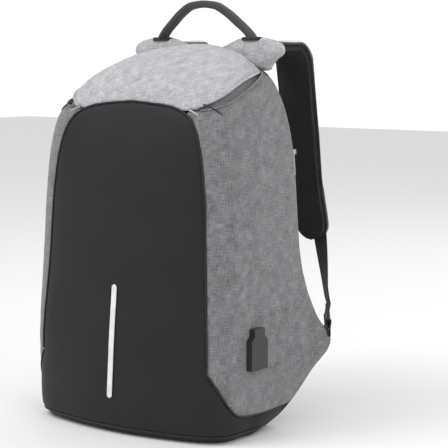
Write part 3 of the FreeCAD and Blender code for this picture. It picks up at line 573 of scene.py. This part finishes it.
outer = body_grid()
outer_points = outer.reshape(-1, 3)
outer_uv = grid_uv(outer)
outer_faces = np.array(grid_faces(*outer.shape[:2]))[:, ::-1]
x, y, z = outer_points.T
in_panel = np.where(y < 20, signed(outer_points[:, [0, 2]], panel_outline), -50.0)
in_wrap = signed(outer_points[:, [1, 2]], wrap_outline)
black = np.maximum(in_panel, in_wrap)
fields = {
    "front_panel": np.minimum(black, z - BASE_RIM),
    "side_panel_right": np.minimum.reduce([-black, signed(outer_points[:, [1, 2]], below_hem), x,
                                           z - BASE_RIM]),
    "side_panel_left": np.minimum.reduce([-black, signed(outer_points[:, [1, 2]], below_hem), -x,
                                          z - BASE_RIM]),
    "top_panel": np.minimum(-black, signed(outer_points[:, [1, 2]], above_bow)),
}
# The top panel takes the lighter grey heather, which is painted light from above.
looks = {
    "front_panel": (BLACK, "black_fabric", 0.8), "side_panel_right": (GREY, "grey_fabric", 1.2),
    "side_panel_left": (GREY, "grey_fabric", 1.2), "top_panel": (LIT_GREY, "grey_fabric", 1.4),
}
rng = np.random.default_rng(7)
WAVES = [(rng.uniform(0.03, 0.08), rng.uniform(-1, 1, 3), rng.uniform(0, 6.28)) for _ in range(7)]


def soft_waves(points, height):
    """A few long, shallow undulations, as in cloth over foam."""
    total = np.zeros(len(points))
    for pitch, direction, phase in WAVES:
        total += np.sin(points @ (direction / np.linalg.norm(direction)) * pitch + phase)
    return height * total / len(WAVES)


def puckers(points, outline, reach, height):
    """Small gathers square to the seam round the front panel."""
    flat = points[:, [0, 2]]
    run = run_along(outline)
    nearest = np.argmin(((flat[:, None] - outline[None]) ** 2).sum(2), 1)
    away = np.linalg.norm(flat - outline[nearest], axis=1)
    step = (flat - outline[nearest]) @ np.array([1.0, 0.0])
    phase = run[nearest] * 0.92 + 1.7 * np.sin(run[nearest] * 0.11) + 0.02 * step
    strength = 0.5 + 0.5 * np.sin(run[nearest] * 0.05 + 1.0)
    return height * strength * np.sin(phase) * np.exp(-away / reach)


panels = {}
for name, field in fields.items():
    material, slot_name, puff = looks[name]
    points, faces, uvs, depth = trim(outer_points, outer_faces, field, outer_uv)
    lift = puff * (1 - np.exp(-np.maximum(depth, 0) / 5.0)) - 1.0 * np.exp(-np.maximum(depth, 0) / 1.6)
    lift += soft_waves(points, 0.9) * (1 - np.exp(-np.maximum(depth, 0) / 20.0))
    if name != "front_panel":
        lift += puckers(points, panel_outline[::2], 10.0, 0.7)
    shape = points + normals_of(points, faces) * lift[:, None]
    panels[name] = make(name, shape, faces, material, "shell", uvs=uvs, nodes=(name,), slot=slot_name)
    modify(panels[name], "SOLIDIFY", thickness=3.4 * MM, offset=-1.0)

# The lens-shaped recess between the straight hem and the bowed edge of the top panel, in a darker grey
# heather that is painted shade of the fold.
fold_zone = np.vstack([bow_curve[3:-9] + [0, 4.5], [(90, 428), (60, 420), (0, 399), (-40, 385), (-66, 378)]])
fold_grid = body_grid(5.0, 340.0)
fold_points, fold_uv = fold_grid.reshape(-1, 3), grid_uv(fold_grid)
fold_faces = np.array(grid_faces(*fold_grid.shape[:2]))[:, ::-1]
for side, word in ((1, "right"), (-1, "left")):
    zone = np.minimum(signed(fold_points[:, [1, 2]], fold_zone), side * fold_points[:, 0] - 84)
    points, faces, uvs, _ = trim(fold_points, fold_faces, zone, fold_uv)
    pleat = make("pleat_" + word, points, faces, SHADED_GREY, "shell", uvs=uvs, nodes=("pleat_" + word,),
                 slot="grey_fabric")
    modify(pleat, "SOLIDIFY", thickness=1.5 * MM, offset=-1.0)

outer_tree = BVHTree.FromPolygons([tuple(p) for p in outer_points], [tuple(f) for f in outer_faces.tolist()])


def drop(points, direction, lift=0.0):
    """Points moved along a direction onto the outer form."""
    direction = Vector(direction)
    found = []
    for point in points:
        hit, normal, _, _ = outer_tree.ray_cast(Vector(point) - direction * 400, direction)
        if hit is None:
            hit, normal, _, _ = outer_tree.find_nearest(Vector(point))
        outward = normal if normal.dot(direction) < 0 else -normal
        found.append(np.array(hit + outward * lift))
    return np.array(found)


def on_front(pairs, lift=0.0):
    return drop([(a, -60, b) for a, b in pairs], (0, 1, 0), lift)


def on_side(pairs, side, lift=0.0):
    return drop([(side * 100, a, b) for a, b in pairs], (-side, 0, 0), lift)


def off_panel(points):
    """The points of a run on the side that stay clear of the black front panel."""
    return points[signed(points[:, [0, 2]], panel_outline) < -2.0]


# Piping round the front panel, edges of the pleat, bar tacks and stitching.
seam_run = np.array([p for p in panel_outline if p[1] > 84])
cord("front_piping", on_front(seam_run[::2], 0.5), 1.0, THREAD_DARK, "shell")
for side, word in ((1, "right"), (-1, "left")):
    wrap_run = smooth_curve(WRAP, 60)
    wrap_run = wrap_run[wrap_run[:, 0] < 55]
    cord("wrap_piping_" + word, on_side(wrap_run, side, 0.4), 0.9, THREAD_DARK, "shell")
    hem_run = np.linspace(HEM[0], HEM[1], 40)[4:33]
    cord("hem_edge_" + word, off_panel(on_side(hem_run, side, 0.0)), 1.3, GREY, "shell")
    bow_run = bow_curve[4:46]
    # The bowed edge takes the lighter grey heather, which is painted light.
    cord("bow_edge_" + word, off_panel(on_side(bow_run, side, -0.2)), 1.7, LIT_GREY, "shell")
    stitches("hem_stitching_" + word, off_panel(on_side(hem_run - [0, 4.0], side, 1.0)), "shell", THREAD_GREY)
    tacks = []
    for n, (middle_y, middle_z) in enumerate(((-44, 388), (76, 431))):
        line = [(middle_y - 2 + 4 * t, middle_z + 6 - 12 * t) for t in np.linspace(0, 1, 12)]
        tacks.append(cord("tack_%d_%s" % (n, word), on_side(line, side, 1.2), 0.8, THREAD_DARK, "shell"))
    join("bar_tacks_" + word, tacks)

# Reflective strip, a flat band with rounded ends, lying on the front.
STRIP_LOW, STRIP_HIGH, STRIP_HALF = 44.0, 180.0, 3.6
strip_rows = []
for height in np.linspace(STRIP_LOW, STRIP_HIGH, 70):
    end = min(height - STRIP_LOW, STRIP_HIGH - height)
    half = STRIP_HALF * math.sqrt(max(0.02, 1 - max(0.0, 1 - end / STRIP_HALF) ** 2))
    strip_rows.append(on_front([(u * half, height) for u in np.linspace(-1, 1, 9)], 2.0))
strip_points = np.array(strip_rows).reshape(-1, 3)
strip = make("reflective_strip", strip_points, grid_faces(70, 9), REFLECTIVE, "shell",
             nodes=("reflective_strip",), slot="reflective")
modify(strip, "SOLIDIFY", thickness=0.9 * MM, offset=0.0)

# Base panel: rim and flat bottom.
base_levels = [section(h) for h in (BASE_RIM, 6, 3.5, 1.6, 0.5, 0)]
base_heights = [BASE_RIM, 6, 3.5, 1.6, 0.5, 0.1]
base_rows = [np.column_stack([ring, np.full(len(ring), h)]) for ring, h in zip(base_levels, base_heights)]
base_centre = np.array([0.0, -10.0, 0.0])
for t in np.linspace(0.1, 0.98, 9):
    base_rows.append(base_rows[5] + (base_centre - base_rows[5]) * t)
base_rows = np.array(base_rows)
base = sheet("base_panel", base_rows, BLACK, "shell", nodes=("base_panel",), slot="black_fabric")
modify(base, "SOLIDIFY", thickness=3.0 * MM, offset=-1.0)
cord("base_piping", np.column_stack([section(BASE_RIM), np.full(ACROSS_COUNT, BASE_RIM)]) * [1.003, 1.003,
                                                                                             1], 1.1,
     THREAD_DARK, "shell")


def rim_path(inset, set_back, low, high=ROWS[-1, 0], count=140):
    """The rear rim from low on the right, over the top, to low on the left."""
    heights = np.linspace(low, high, count)
    right = []
    for height in heights:
        ring = section(height, inset, 60)
        right.append((ring[0, 0], ring[0, 1] - set_back,
                      height - inset * max(0.0, (height - 380) / (CREST - 380))))
    right = np.array(right)
    top = right[-1] + (right[-1] * [-1, 1, 1] - right[-1]) * np.linspace(0.1, 0.9, 9)[:, None]
    top[:, 2] += 1.6 * np.sin(np.linspace(0.1, 0.9, 9) * math.pi)
    return np.vstack([right, top, (right * [-1, 1, 1])[::-1]])


def strip_between(name, first, second, material, body, thickness=0.8, **extra):
    """A band of cloth between two curves of equal length."""
    rows = np.array([first + (second - first) * t for t in np.linspace(0, 1, 6)])
    piece = sheet(name, rows, material, body, **extra)
    return modify(piece, "SOLIDIFY", thickness=thickness * MM, offset=0.0)


strip_between("rim_facing", rim_path(0.8, 0.6, 12), rim_path(10.2, 0.6, 12), BLACK, "shell", 1.2,
              slot="black_fabric")
cord("rim_binding", rim_path(1.0, -0.6, 100), 1.7, THREAD_DARK, "shell", sides=10)
for side, word in ((1, "right"), (-1, "left")):
    low_rim = rim_path(1.0, -0.6, 3)[:36] * [side, 1, 1]
    cord("slope_binding_" + word, low_rim, 2.0, THREAD_DARK, "shell", sides=10)
strip_between("zip_tape_shell", rim_path(4.4, 12.0, 172), rim_path(4.4, 0.5, 172), TAPE, "shell",
              nodes=("zip_tape_shell",), slot="zip_tape")

# Lower rear panel: slopes from the base up to the foot of the back panel, slightly slack.
slope_rows = []
for height in np.linspace(0.5, 96, 48):
    edge_point = section(height, 1.5, 60)[0]
    across = np.linspace(1, -1, 90)
    sag = 5.0 * np.cos(across * math.pi / 2) ** 0.5 * math.sin(math.pi * min(1.0, height / 96))
    slope_rows.append(np.column_stack([across * edge_point[0], edge_point[1] - 1.0 + sag * 0.8,
                                       np.full(90, height)]))
slope_rows = np.array(slope_rows)
slope = sheet("lower_rear_panel", slope_rows, BLACK, "shell", nodes=("lower_rear_panel",),
              slot="black_fabric")
modify(slope, "SOLIDIFY", thickness=2.5 * MM, offset=0.0)

# Lining: a cloth bag inside the walls.
lining_grid = body_grid(9.8, 12.0, 4.0, 200)
floor = lining_grid[0]
floor_rows = [floor + (np.array([0, -10, 9.5]) - floor) * t for t in np.linspace(0.98, 0.1, 8)]
lining_rows = np.concatenate([np.array(floor_rows), lining_grid])
lining = sheet("lining", lining_rows, LINING, "shell", inward=True, nodes=("lining",), slot="lining_fabric")
modify(lining, "SOLIDIFY", thickness=0.8 * MM, offset=-1.0)

# ---------------------------------------------------------------------------------------------
# Soft pieces grown from the CAD solids: remeshed, then inflated as cloth.


def cloth_copy(name, node, material, body, voxel, pressure, cap, smooth_steps=4):
    """Copies a soft CAD solid, remeshes it and inflates it a little as cloth."""
    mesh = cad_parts[node].data.copy()
    mesh.materials.clear()
    mesh.materials.append(material)
    piece = bpy.data.objects.new(name, mesh)
    bpy.context.scene.collection.objects.link(piece)
    modify(piece, "REMESH", mode="VOXEL", voxel_size=voxel * MM, use_smooth_shade=True)
    modify(piece, "SMOOTH", factor=0.5, iterations=smooth_steps)
    inflate(piece, pressure, cap)
    modify(piece, "SUBSURF", levels=1, render_levels=1)
    box_uv(piece)
    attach(piece, body)
    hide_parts(node)
    return piece


def inflate(piece, pressure, cap, frames=18):
    """A short cloth run under pressure, with each point's motion capped (mm)."""
    before = np.array([v.co for v in piece.data.vertices])
    modifier = piece.modifiers.new("Cloth", "CLOTH")
    settings = modifier.settings
    settings.quality = 5
    settings.mass = 0.3
    settings.tension_stiffness = 25
    settings.compression_stiffness = 25
    settings.shear_stiffness = 10
    settings.bending_stiffness = 1.0
    settings.use_pressure = True
    settings.uniform_pressure_force = pressure
    settings.effector_weights.gravity = 0
    modifier.point_cache.frame_start = 1
    modifier.point_cache.frame_end = frames
    scene = bpy.context.scene
    for step in range(1, frames + 1):
        scene.frame_set(step)
    seen = piece.evaluated_get(bpy.context.evaluated_depsgraph_get())
    after = np.array([v.co for v in seen.data.vertices])
    piece.modifiers.remove(modifier)
    scene.frame_set(1)
    move = after - before
    length = np.maximum(np.linalg.norm(move, axis=1, keepdims=True), 1e-9)
    limit = cap * MM
    move *= np.tanh(length / limit) * limit / length
    piece.data.vertices.foreach_set("co", (before + move).astype(np.float32).ravel())
    piece.data.update()


def box_uv(piece):
    """Texture coordinates in metres, laid flat along each face's main direction."""
    mesh = piece.data
    layer = mesh.uv_layers.get("UVMap") or mesh.uv_layers.new(name="UVMap")
    for polygon in mesh.polygons:
        a = np.abs(np.array(polygon.normal))
        pick = (1, 2) if a[0] >= max(a[1], a[2]) else ((0, 2) if a[1] >= a[2] else (0, 1))
        for loop in polygon.loop_indices:
            place = mesh.vertices[mesh.loops[loop].vertex_index].co
            layer.data[loop].uv = (place[pick[0]], place[pick[1]])


def reshape(piece, rule):
    """Moves a piece's points by rule(points in mm, normals), which returns new points in mm."""
    mesh = piece.data
    points = np.array([v.co for v in mesh.vertices]) / MM
    normals = np.array([v.normal for v in mesh.vertices])
    mesh.vertices.foreach_set("co", (rule(points, normals) * MM).astype(np.float32).ravel())
    mesh.update()


# Yoke, padded, in the lighter grey heather whose extra lightness is painted light.
cloth_copy("yoke_cloth", "yoke", LIT_GREY, "door", 3.2, 2.5, 3.0)

# Back padding: three pads each side of a spine channel.
padding = cloth_copy("back_padding", "back_foam", MESH, "door", 4.5, 3.0, 5.0, 6)


def groove(distance, width):
    return np.exp(-(distance / width) ** 2)


def channels(points, normals):
    """Air channels pressed into the rear face."""
    rear = np.clip((normals[:, 1] - 0.4) * 2.5, 0, 1)
    a, c = np.abs(points[:, 0]), points[:, 2]
    depth = 6.0 * groove(a, 9)
    for level in (196, 300):
        depth = np.maximum(depth, 5.0 * groove(c - level - 0.10 * a, 6))
    depth = np.maximum(depth, 3.0 * groove(a - 118, 4) * (c > 130))
    return points - np.column_stack([np.zeros(len(points)), depth * rear, np.zeros(len(points))])


reshape(padding, channels)

# Binding along the edge of the back board.
strip_between("door_binding", rim_path(11.8, -5.0, 172, 452), rim_path(14.6, -7.5, 172, 452), BLACK, "door",
              1.6)

# ---------------------------------------------------------------------------------------------
# Straps: a grey cover over a mesh pad, an arch from the yoke down behind the bag.

STRAP_PATH = [(-9, 441), (0, 449), (17, 465), (46, 465), (62, 448), (69, 407), (77, 347), (86, 282),
              (95, 240), (99, 212)]
STRAP_X, STRAP_Y, STRAP_YAW = 70.0, 103.5, math.radians(13)
STATIONS = 90


def strap_frame(side):
    """The strap's centre line and its across direction."""
    local = smooth_curve(STRAP_PATH, STATIONS)
    forward = np.array([side * math.sin(STRAP_YAW), math.cos(STRAP_YAW)])
    path = np.column_stack([side * STRAP_X + local[:, 0] * forward[0], STRAP_Y + local[:, 0] * forward[1],
                            local[:, 1]])
    return path, np.array([math.cos(STRAP_YAW), -side * math.sin(STRAP_YAW), 0.0])


def strap_half(run):
    """Half width along the strap: full over the shoulder, narrower and rounded at the foot."""
    left = run[-1] - run
    body = np.interp(left, [0, 40, 140, 400], [26.5, 27.5, 31, 31])
    return body * np.sqrt(np.clip(1 - np.clip(1 - left / 22, 0, 1) ** 2, 0.02, 1))


def strap_layer(name, side, thick, out, wider, material, node, slot_name):
    path, across = strap_frame(side)
    run = run_along(path)
    half = strap_half(run) + wider
    base = oval(2.0, 1.0, 0.35, 36)
    wave = 1 + 0.10 * np.sin(run / 21.0 + side)
    profile = np.stack([
        base[None, :, 0] * half[:, None],
        base[None, :, 1] * thick * wave[:, None] * (1 - 0.25 * base[None, :, 0] ** 4) + out,
    ], -1)
    piece = sweep(name, path, across, profile, material, None, nodes=(node,), slot=slot_name)
    inflate(piece, 2.0, 2.5)
    modify(piece, "SUBSURF", levels=1, render_levels=1)
    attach(piece, "strap_right" if side > 0 else "strap_left")
    return piece


def strap_line(side, across_share, out, first=6, last=None, inset=0.0):
    """A line lying on the strap, at a share of its half width."""
    path, across = strap_frame(side)
    run = run_along(path)
    along = unit(np.gradient(path, axis=0))
    outward = np.cross(np.broadcast_to(across, along.shape), along)
    half = (strap_half(run) - inset)[:, None]
    return (path + across * half * across_share + outward * out)[first:last]


for side, word in ((1, "right"), (-1, "left")):
    body = "strap_" + word
    strap_layer("strap_pad_" + word, side, 9.0, -5.0, -1.0, MESH, "strap_pad_" + word, "mesh_fabric")
    strap_layer("strap_cover_" + word, side, 5.0, 1.6, 0.6, GREY, "strap_cover_" + word, "grey_fabric")
    for edge in (-1, 1):
        cord("strap_edge_%s_%s" % (word, "in" if edge < 0 else "out"), strap_line(side, edge, -0.9), 1.5,
             THREAD_DARK, body)
        stitches("strap_stitch_%s_%s" % (word, "in" if edge < 0 else "out"),
                 strap_line(side, edge, 3.9, inset=5.0),
                 body, THREAD_GREY)
    patch_path = strap_line(side, 0.0, 4.6)[-9:-2]
    patch = sweep("strap_patch_" + word, patch_path, strap_frame(side)[1], oval(25, 1.6, 0.3), WEBBING, body)
    modify(patch, "SUBSURF", levels=1, render_levels=1)

# ---------------------------------------------------------------------------------------------
# Webbing from the strap's foot to the ladder lock on the wing.

ANCHOR = np.array([166.0, 121.0, 112.0])
STRAP_FOOT = np.array([104.0, 196.0, 219.0])
RUN = unit(STRAP_FOOT - ANCHOR)
FACE = unit(np.array([RUN[1], -RUN[0], 0.0]))
ACROSS = np.cross(FACE, RUN)
STRAP_ACROSS = np.array([math.cos(STRAP_YAW), -math.sin(STRAP_YAW), 0.0])
WEBBING_HALF = 10.0


def webbing_part(name, side, low, high, count):
    """One stretch of webbing, measured up from the anchor, turning a quarter as it rises."""
    length = np.linalg.norm(STRAP_FOOT - ANCHOR)
    along = np.linspace(low, high, count)
    turn = np.clip((along - 45) / (length - 45), 0, 1)[:, None]
    level = STRAP_ACROSS - RUN * (STRAP_ACROSS @ RUN)
    across = unit(ACROSS * (1 - turn) + level * turn)
    lift = np.interp(along, [-4, 6, 20, 34, 60], [0.5, 3.4, -0.4, 3.4, 0.5])[:, None]
    sag = 3.0 * np.sin(np.clip(along / length, 0, 1) * math.pi)[:, None] * np.array([0.3, 0.5, -0.6])
    path = (ANCHOR + RUN * along[:, None] + FACE * lift + sag) * [side, 1, 1]
    across = across * [side, 1, 1]
    piece = sweep(name, path, across, oval(2 * WEBBING_HALF, 1.7, 0.25), WEBBING, None,
                  slot="webbing", nodes=("webbing_right" if side > 0 else "webbing_left",))
    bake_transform(piece)
    return path


for side, word in ((1, "right"), (-1, "left")):
    length = np.linalg.norm(STRAP_FOOT - ANCHOR)
    webbing_part("webbing_low_" + word, side, -2, 0.5 * length, 34)
    webbing_part("webbing_high_" + word, side, 0.5 * length, length + 6, 34)
    loop_path = np.array([ANCHOR + RUN * a + FACE * f for a, f in
                          [(-13, -1.0), (-4, -1.6), (4, -2.6), (9, -3.1), (12.2, 0), (9, 3.1), (4, 2.6),
                           (-4, 1.6), (-13, 1.0)]])
    loop = sweep("anchor_loop_" + word, smooth_curve(loop_path, 40) * [side, 1, 1], ACROSS * [side, 1, 1],
                 oval(19.5, 1.6, 0.25), WEBBING, "shell", nodes=("anchor_loop_" + word,), slot="webbing")

# ---------------------------------------------------------------------------------------------
# Carry handle and its sewn bases.

HANDLE_ARCH = [(72, 470), (66, 478), (50, 492), (36, 503), (18, 512), (0, 514)]
handle_curve = smooth_curve(HANDLE_ARCH + [(-a, b) for a, b in HANDLE_ARCH[-2::-1]], 90)
lean = -0.16 * (handle_curve[:, 1] - 470)
handle_path = np.column_stack([handle_curve[:, 0], 92.0 + lean, handle_curve[:, 1]])
foot = np.clip(np.abs(np.linspace(-1, 1, 90)) * 3.2 - 2.2, 0, 1)
wide = 14.5 + 5.0 * foot
deep = 9.0 - 3.5 * foot
base_ring = oval(2.0, 2.0, 0.6, 28)
handle_profile = np.stack([base_ring[None, :, 0] * wide[:, None] / 2,
                           base_ring[None, :, 1] * deep[:, None] / 2], -1)
handle = sweep("handle", handle_path, (0, 1, 0), handle_profile, HANDLE, "handle", nodes=("handle",),
               slot="handle_fabric")
modify(handle, "SUBSURF", levels=1, render_levels=1)
for edge in (-1, 1):
    line = handle_path + np.array([0, edge * 4.6, 0]) + np.column_stack(
        [np.zeros(90), np.zeros(90), deep / 2 + 0.1])
    stitches("handle_stitch_" + ("front" if edge < 0 else "rear"), line[22:-22], "handle", THREAD_DARK)
for side, word in ((1, "right"), (-1, "left")):
    turn = np.linspace(0, 2 * math.pi, 40, endpoint=False)
    rings = []
    for size, height in ((1.0, -3.0), (1.0, 0.2), (0.94, 1.2), (0.6, 1.7), (0.05, 1.8)):
        rings.append(np.column_stack([side * 71 + 15.5 * size * np.cos(turn),
                                      91.5 + 8.0 * size * np.sin(turn),
                                      np.full(40, 471.5 + height)]))
    rings = np.array(rings)
    make("handle_base_" + word, rings.reshape(-1, 3), grid_faces(5, 40, closed=True), WEBBING, "door",
         nodes=("handle_base_" + word,), slot="webbing")

# ---------------------------------------------------------------------------------------------
# Rear and inner details.

# Luggage strap across the padding.
strap_run = np.array([(-126, 100.5, 250), (-90, 106.5, 250), (-40, 107.5, 250), (0, 106.5, 250),
                      (40, 107.5, 250),
                      (90, 106.5, 250), (126, 100.5, 250)])
sweep("luggage_strap", smooth_curve(strap_run, 60), (0, 0, 1), oval(68, 1.8, 0.2, 30), WEBBING, "door",
                nodes=("luggage_strap",), slot="webbing")

# Laptop sleeve: an open pouch on the inside of the door.
pouch = []
plan = smooth_curve([(-121, 82.5), (-120, 66), (-112, 58.5), (-60, 57.2), (0, 56.8), (60, 57.2),
                     (112, 58.5), (120, 66),
                     (121, 82.5)], 90)
for height in np.linspace(118, 356, 60):
    slack = 1.5 * math.sin((height - 118) / 238 * math.pi)
    pouch.append(np.column_stack([plan[:, 0], plan[:, 1] - slack * np.cos(plan[:, 0] / 121 * math.pi / 2),
                                  np.full(90, height)]))
pouch_foot = pouch[0] * [0.98, 1, 1]
pouch_middle = np.array([0, 82, 116])
pouch = np.array([pouch_foot + (pouch_middle - pouch_foot) * t for t in (0.95, 0.6, 0.3)] + pouch)
sleeve = sheet("laptop_sleeve", pouch, LINING, "door", nodes=("laptop_sleeve",), slot="lining_fabric")
modify(sleeve, "SOLIDIFY", thickness=2.4 * MM, offset=-1.0)
cord("sleeve_binding", pouch[-1] + [0, 1.0, 0.5], 1.8, THREAD_DARK, "door")
strap_pull = smooth_curve([(0, 81, 384), (0, 70, 384), (0, 58.5, 378), (0, 54.0, 360), (0, 53.2, 330),
                           (0, 53.4, 306)], 40)
sweep("sleeve_strap", strap_pull, (1, 0, 0), oval(30, 1.7, 0.25), WEBBING, "door", nodes=("sleeve_strap",),
      slot="webbing")

# Organiser: three pockets on the front of the lining.
organiser_grid = body_grid(13.6, 60.0, 4.0, 220, cap=False)
organiser_points = organiser_grid.reshape(-1, 3)
reach = np.minimum.reduce([94 - np.abs(organiser_points[:, 0]), 250 - organiser_points[:, 2],
                           organiser_points[:, 2] - 60.5, -40 - organiser_points[:, 1]])
points, faces, uvs, depth = trim(organiser_points, np.array(grid_faces(*organiser_grid.shape[:2]))[:, ::-1],
                                 reach,
                                 grid_uv(organiser_grid))
pocket_edge = np.minimum(np.abs(np.abs(points[:, 0]) - 32), np.maximum(94 - np.abs(points[:, 0]), 0))
shape = points - normals_of(points, faces) * (2.2 * (1 - np.exp(-pocket_edge / 6)))[:, None]
organiser = make("organiser_pocket", shape, faces, LINING, "shell", uvs=uvs, nodes=("organiser_pocket",),
                 slot="lining_fabric")
modify(organiser, "SOLIDIFY", thickness=1.0 * MM, offset=-1.0)

# Power bank pocket: an elastic-topped pouch round the bank.
bank_low, bank_high = (np.array(corner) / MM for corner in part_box("power_bank"))
middle, size = (bank_low + bank_high) / 2, (bank_high - bank_low)
ring = oval(size[0] + 5.0, size[1] + 5.0, 0.3, 64) + middle[:2]
pouch_rows = [np.column_stack([middle[:2] + (ring - middle[:2]) * t, np.full(64, 21.0)]) for t in (0.05,
                                                                                                   0.6, 0.95)]
pouch_rows += [np.column_stack([middle[:2] + (ring - middle[:2]) * (1.0 + 0.02 * math.sin(h / 9)),
                                np.full(64, h)])
               for h in np.linspace(23, 90, 26)]
pouch_rows = np.array(pouch_rows)
bank_pouch = make("power_bank_pocket", pouch_rows.reshape(-1, 3),
                  grid_faces(len(pouch_rows), 64, closed=True), LINING,
                  "shell", nodes=("power_bank_pocket",), slot="lining_fabric")
modify(bank_pouch, "SOLIDIFY", thickness=1.2 * MM, offset=0.0)
cord("bank_pocket_elastic", np.vstack([pouch_rows[-1], pouch_rows[-1][:1]]), 1.8, TAPE, "shell")

# Cable from the socket to the bank.
cable_path = smooth_curve([(156, -16, 98), (156, -16, 104), (151, -16, 108), (142, -16, 108), (138, -20, 112),
                           (136, -21, 146), (131, -22, 156), (125, -20.5, 158), (124, -20, 150),
                           (124, -20, 131)], 60)
cable = cord("usb_cable", cable_path, 1.8, PLASTIC, None, sides=12, nodes=("usb_cable",),
             slot="black_plastic")
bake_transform(cable)

# ---------------------------------------------------------------------------------------------
# Zip round the door.


def wall_x(height, set_y, inset):
    """Half width of the outer form at a set distance back."""
    ring = section(height, inset, 120)[:60]
    return np.interp(set_y, ring[::-1, 1], ring[::-1, 0])


ZIP_Y = 81.6
levels = np.linspace(172, 446, 120)
zip_right = np.array([(wall_x(h, min(ZIP_Y, rim_y(h)), 6.4), ZIP_Y,
                       h - 6.4 * max(0, (h - 380) / (CREST - 380))) for h in levels])
zip_top = zip_right[-1] + (zip_right[-1] * [-1, 1, 1] - zip_right[-1]) * np.linspace(0.06, 0.94, 20)[:, None]
zip_top[:, 2] += 9.0 * np.sin(np.linspace(0.06, 0.94, 20) * math.pi)
zip_path = np.vstack([zip_right, zip_top, (zip_right * [-1, 1, 1])[::-1]])
teeth = stitches("zip_coil", zip_path, "door", PLASTIC, length=1.5, gap=0.7, radius=1.25)
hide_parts("zip_coil")
cord("zip_cord", zip_path, 0.9, PLASTIC, "door")
inner_path = zip_path * [0.925, 1, 1] + [0, 0.6, 0] + np.where(zip_path[:, 2:] > 430, -1, 0) * [0, 0, 8.0]
strip_between("zip_tape_door", zip_path + [0, 0.7, 0], inner_path, TAPE, "door", nodes=("zip_tape_door",),
              slot="zip_tape")

# Cloth hinge between the lower rear panel and the foot of the door.
hinge_rows = []
hinge_profile = smooth_curve([(110.5, 95), (109.5, 101), (105, 105.5), (99, 109), (95, 114)], 24)
for a, b in hinge_profile:
    across = np.linspace(142, -142, 60)
    hinge_rows.append(np.column_stack([across, np.full(60, a), np.full(60, b)]))
hinge_rows = np.array(hinge_rows)
hinge = sheet("hinge_cloth", hinge_rows, BLACK, None, slot="black_fabric")
modify(hinge, "SOLIDIFY", thickness=1.6 * MM, offset=0.0)
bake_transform(hinge)

# ---------------------------------------------------------------------------------------------
# Camera, floor and light.

lens_data = bpy.data.cameras.new("camera")
camera = bpy.data.objects.new("camera", lens_data)
bpy.context.scene.collection.objects.link(camera)
camera.location = (1.1957, -1.4766, 0.462)
camera.rotation_euler = Vector((-920.9, 1235.8, -177.0)).to_track_quat("-Z", "Y").to_euler()
lens_data.lens = 124.634
lens_data.sensor_width = 36
bpy.context.scene.camera = camera

floor_mesh = bpy.data.meshes.new("floor")
floor_mesh.from_pydata([(-6, -6, 0), (6, -6, 0), (6, 6, 0), (-6, 6, 0)], [], [(0, 1, 2, 3)])
floor_piece = bpy.data.objects.new("floor", floor_mesh)
bpy.context.scene.collection.objects.link(floor_piece)
floor_shade = Shade("floor_white", 0.6)
floor_shade.surface.inputs["Base Color"].default_value = (0.93, 0.93, 0.93, 1)
floor_mesh.materials.append(floor_shade.material)

world = bpy.data.worlds.new("studio")
bpy.context.scene.world = world
world.use_nodes = True
world.node_tree.nodes["Background"].inputs["Color"].default_value = (1, 1, 1, 1)
seen_directly = world.node_tree.nodes.new("ShaderNodeLightPath")
glow = world.node_tree.nodes.new("ShaderNodeMapRange")
glow.inputs["To Min"].default_value = 0.75
glow.inputs["To Max"].default_value = 1.05
world.node_tree.links.new(seen_directly.outputs["Is Camera Ray"], glow.inputs["Value"])
world.node_tree.links.new(glow.outputs["Result"], world.node_tree.nodes["Background"].inputs["Strength"])


def softbox(name, place, target, size, power):
    lamp = bpy.data.lights.new(name, "AREA")
    lamp.shape = "SQUARE"
    lamp.size = size
    lamp.energy = power
    holder = bpy.data.objects.new(name, lamp)
    bpy.context.scene.collection.objects.link(holder)
    holder.location = place
    holder.rotation_euler = (Vector(target) - Vector(place)).to_track_quat("-Z", "Y").to_euler()


softbox("key", (-0.9, -1.2, 2.0), (0, 0, 0.3), 1.2, 22)
softbox("fill", (2.0, -0.6, 1.2), (0, 0, 0.25), 1.4, 12)
softbox("rear", (0.6, 2.0, 1.5), (0, 0, 0.3), 1.4, 10)

bpy.context.scene.view_settings.view_transform = "Standard"

# Hard CAD parts keep their solids and take a material.
HARD = {
    "usb_housing": PLASTIC, "usb_socket": METAL, "usb_tongue": PLASTIC, "usb_plug": PLASTIC,
    "power_bank": BANK,
    "power_button": PLASTIC, "zip_slider_right": METAL, "zip_slider_left": METAL, "zip_pull_right": METAL,
    "zip_pull_left": METAL, "ladder_lock_right": PLASTIC, "ladder_lock_left": PLASTIC, "front_board": BOARD,
    "base_board": BOARD, "back_board": BOARD,
}
for name, material in HARD.items():
    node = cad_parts[name]
    node.data.materials.clear()
    node.data.materials.append(material)
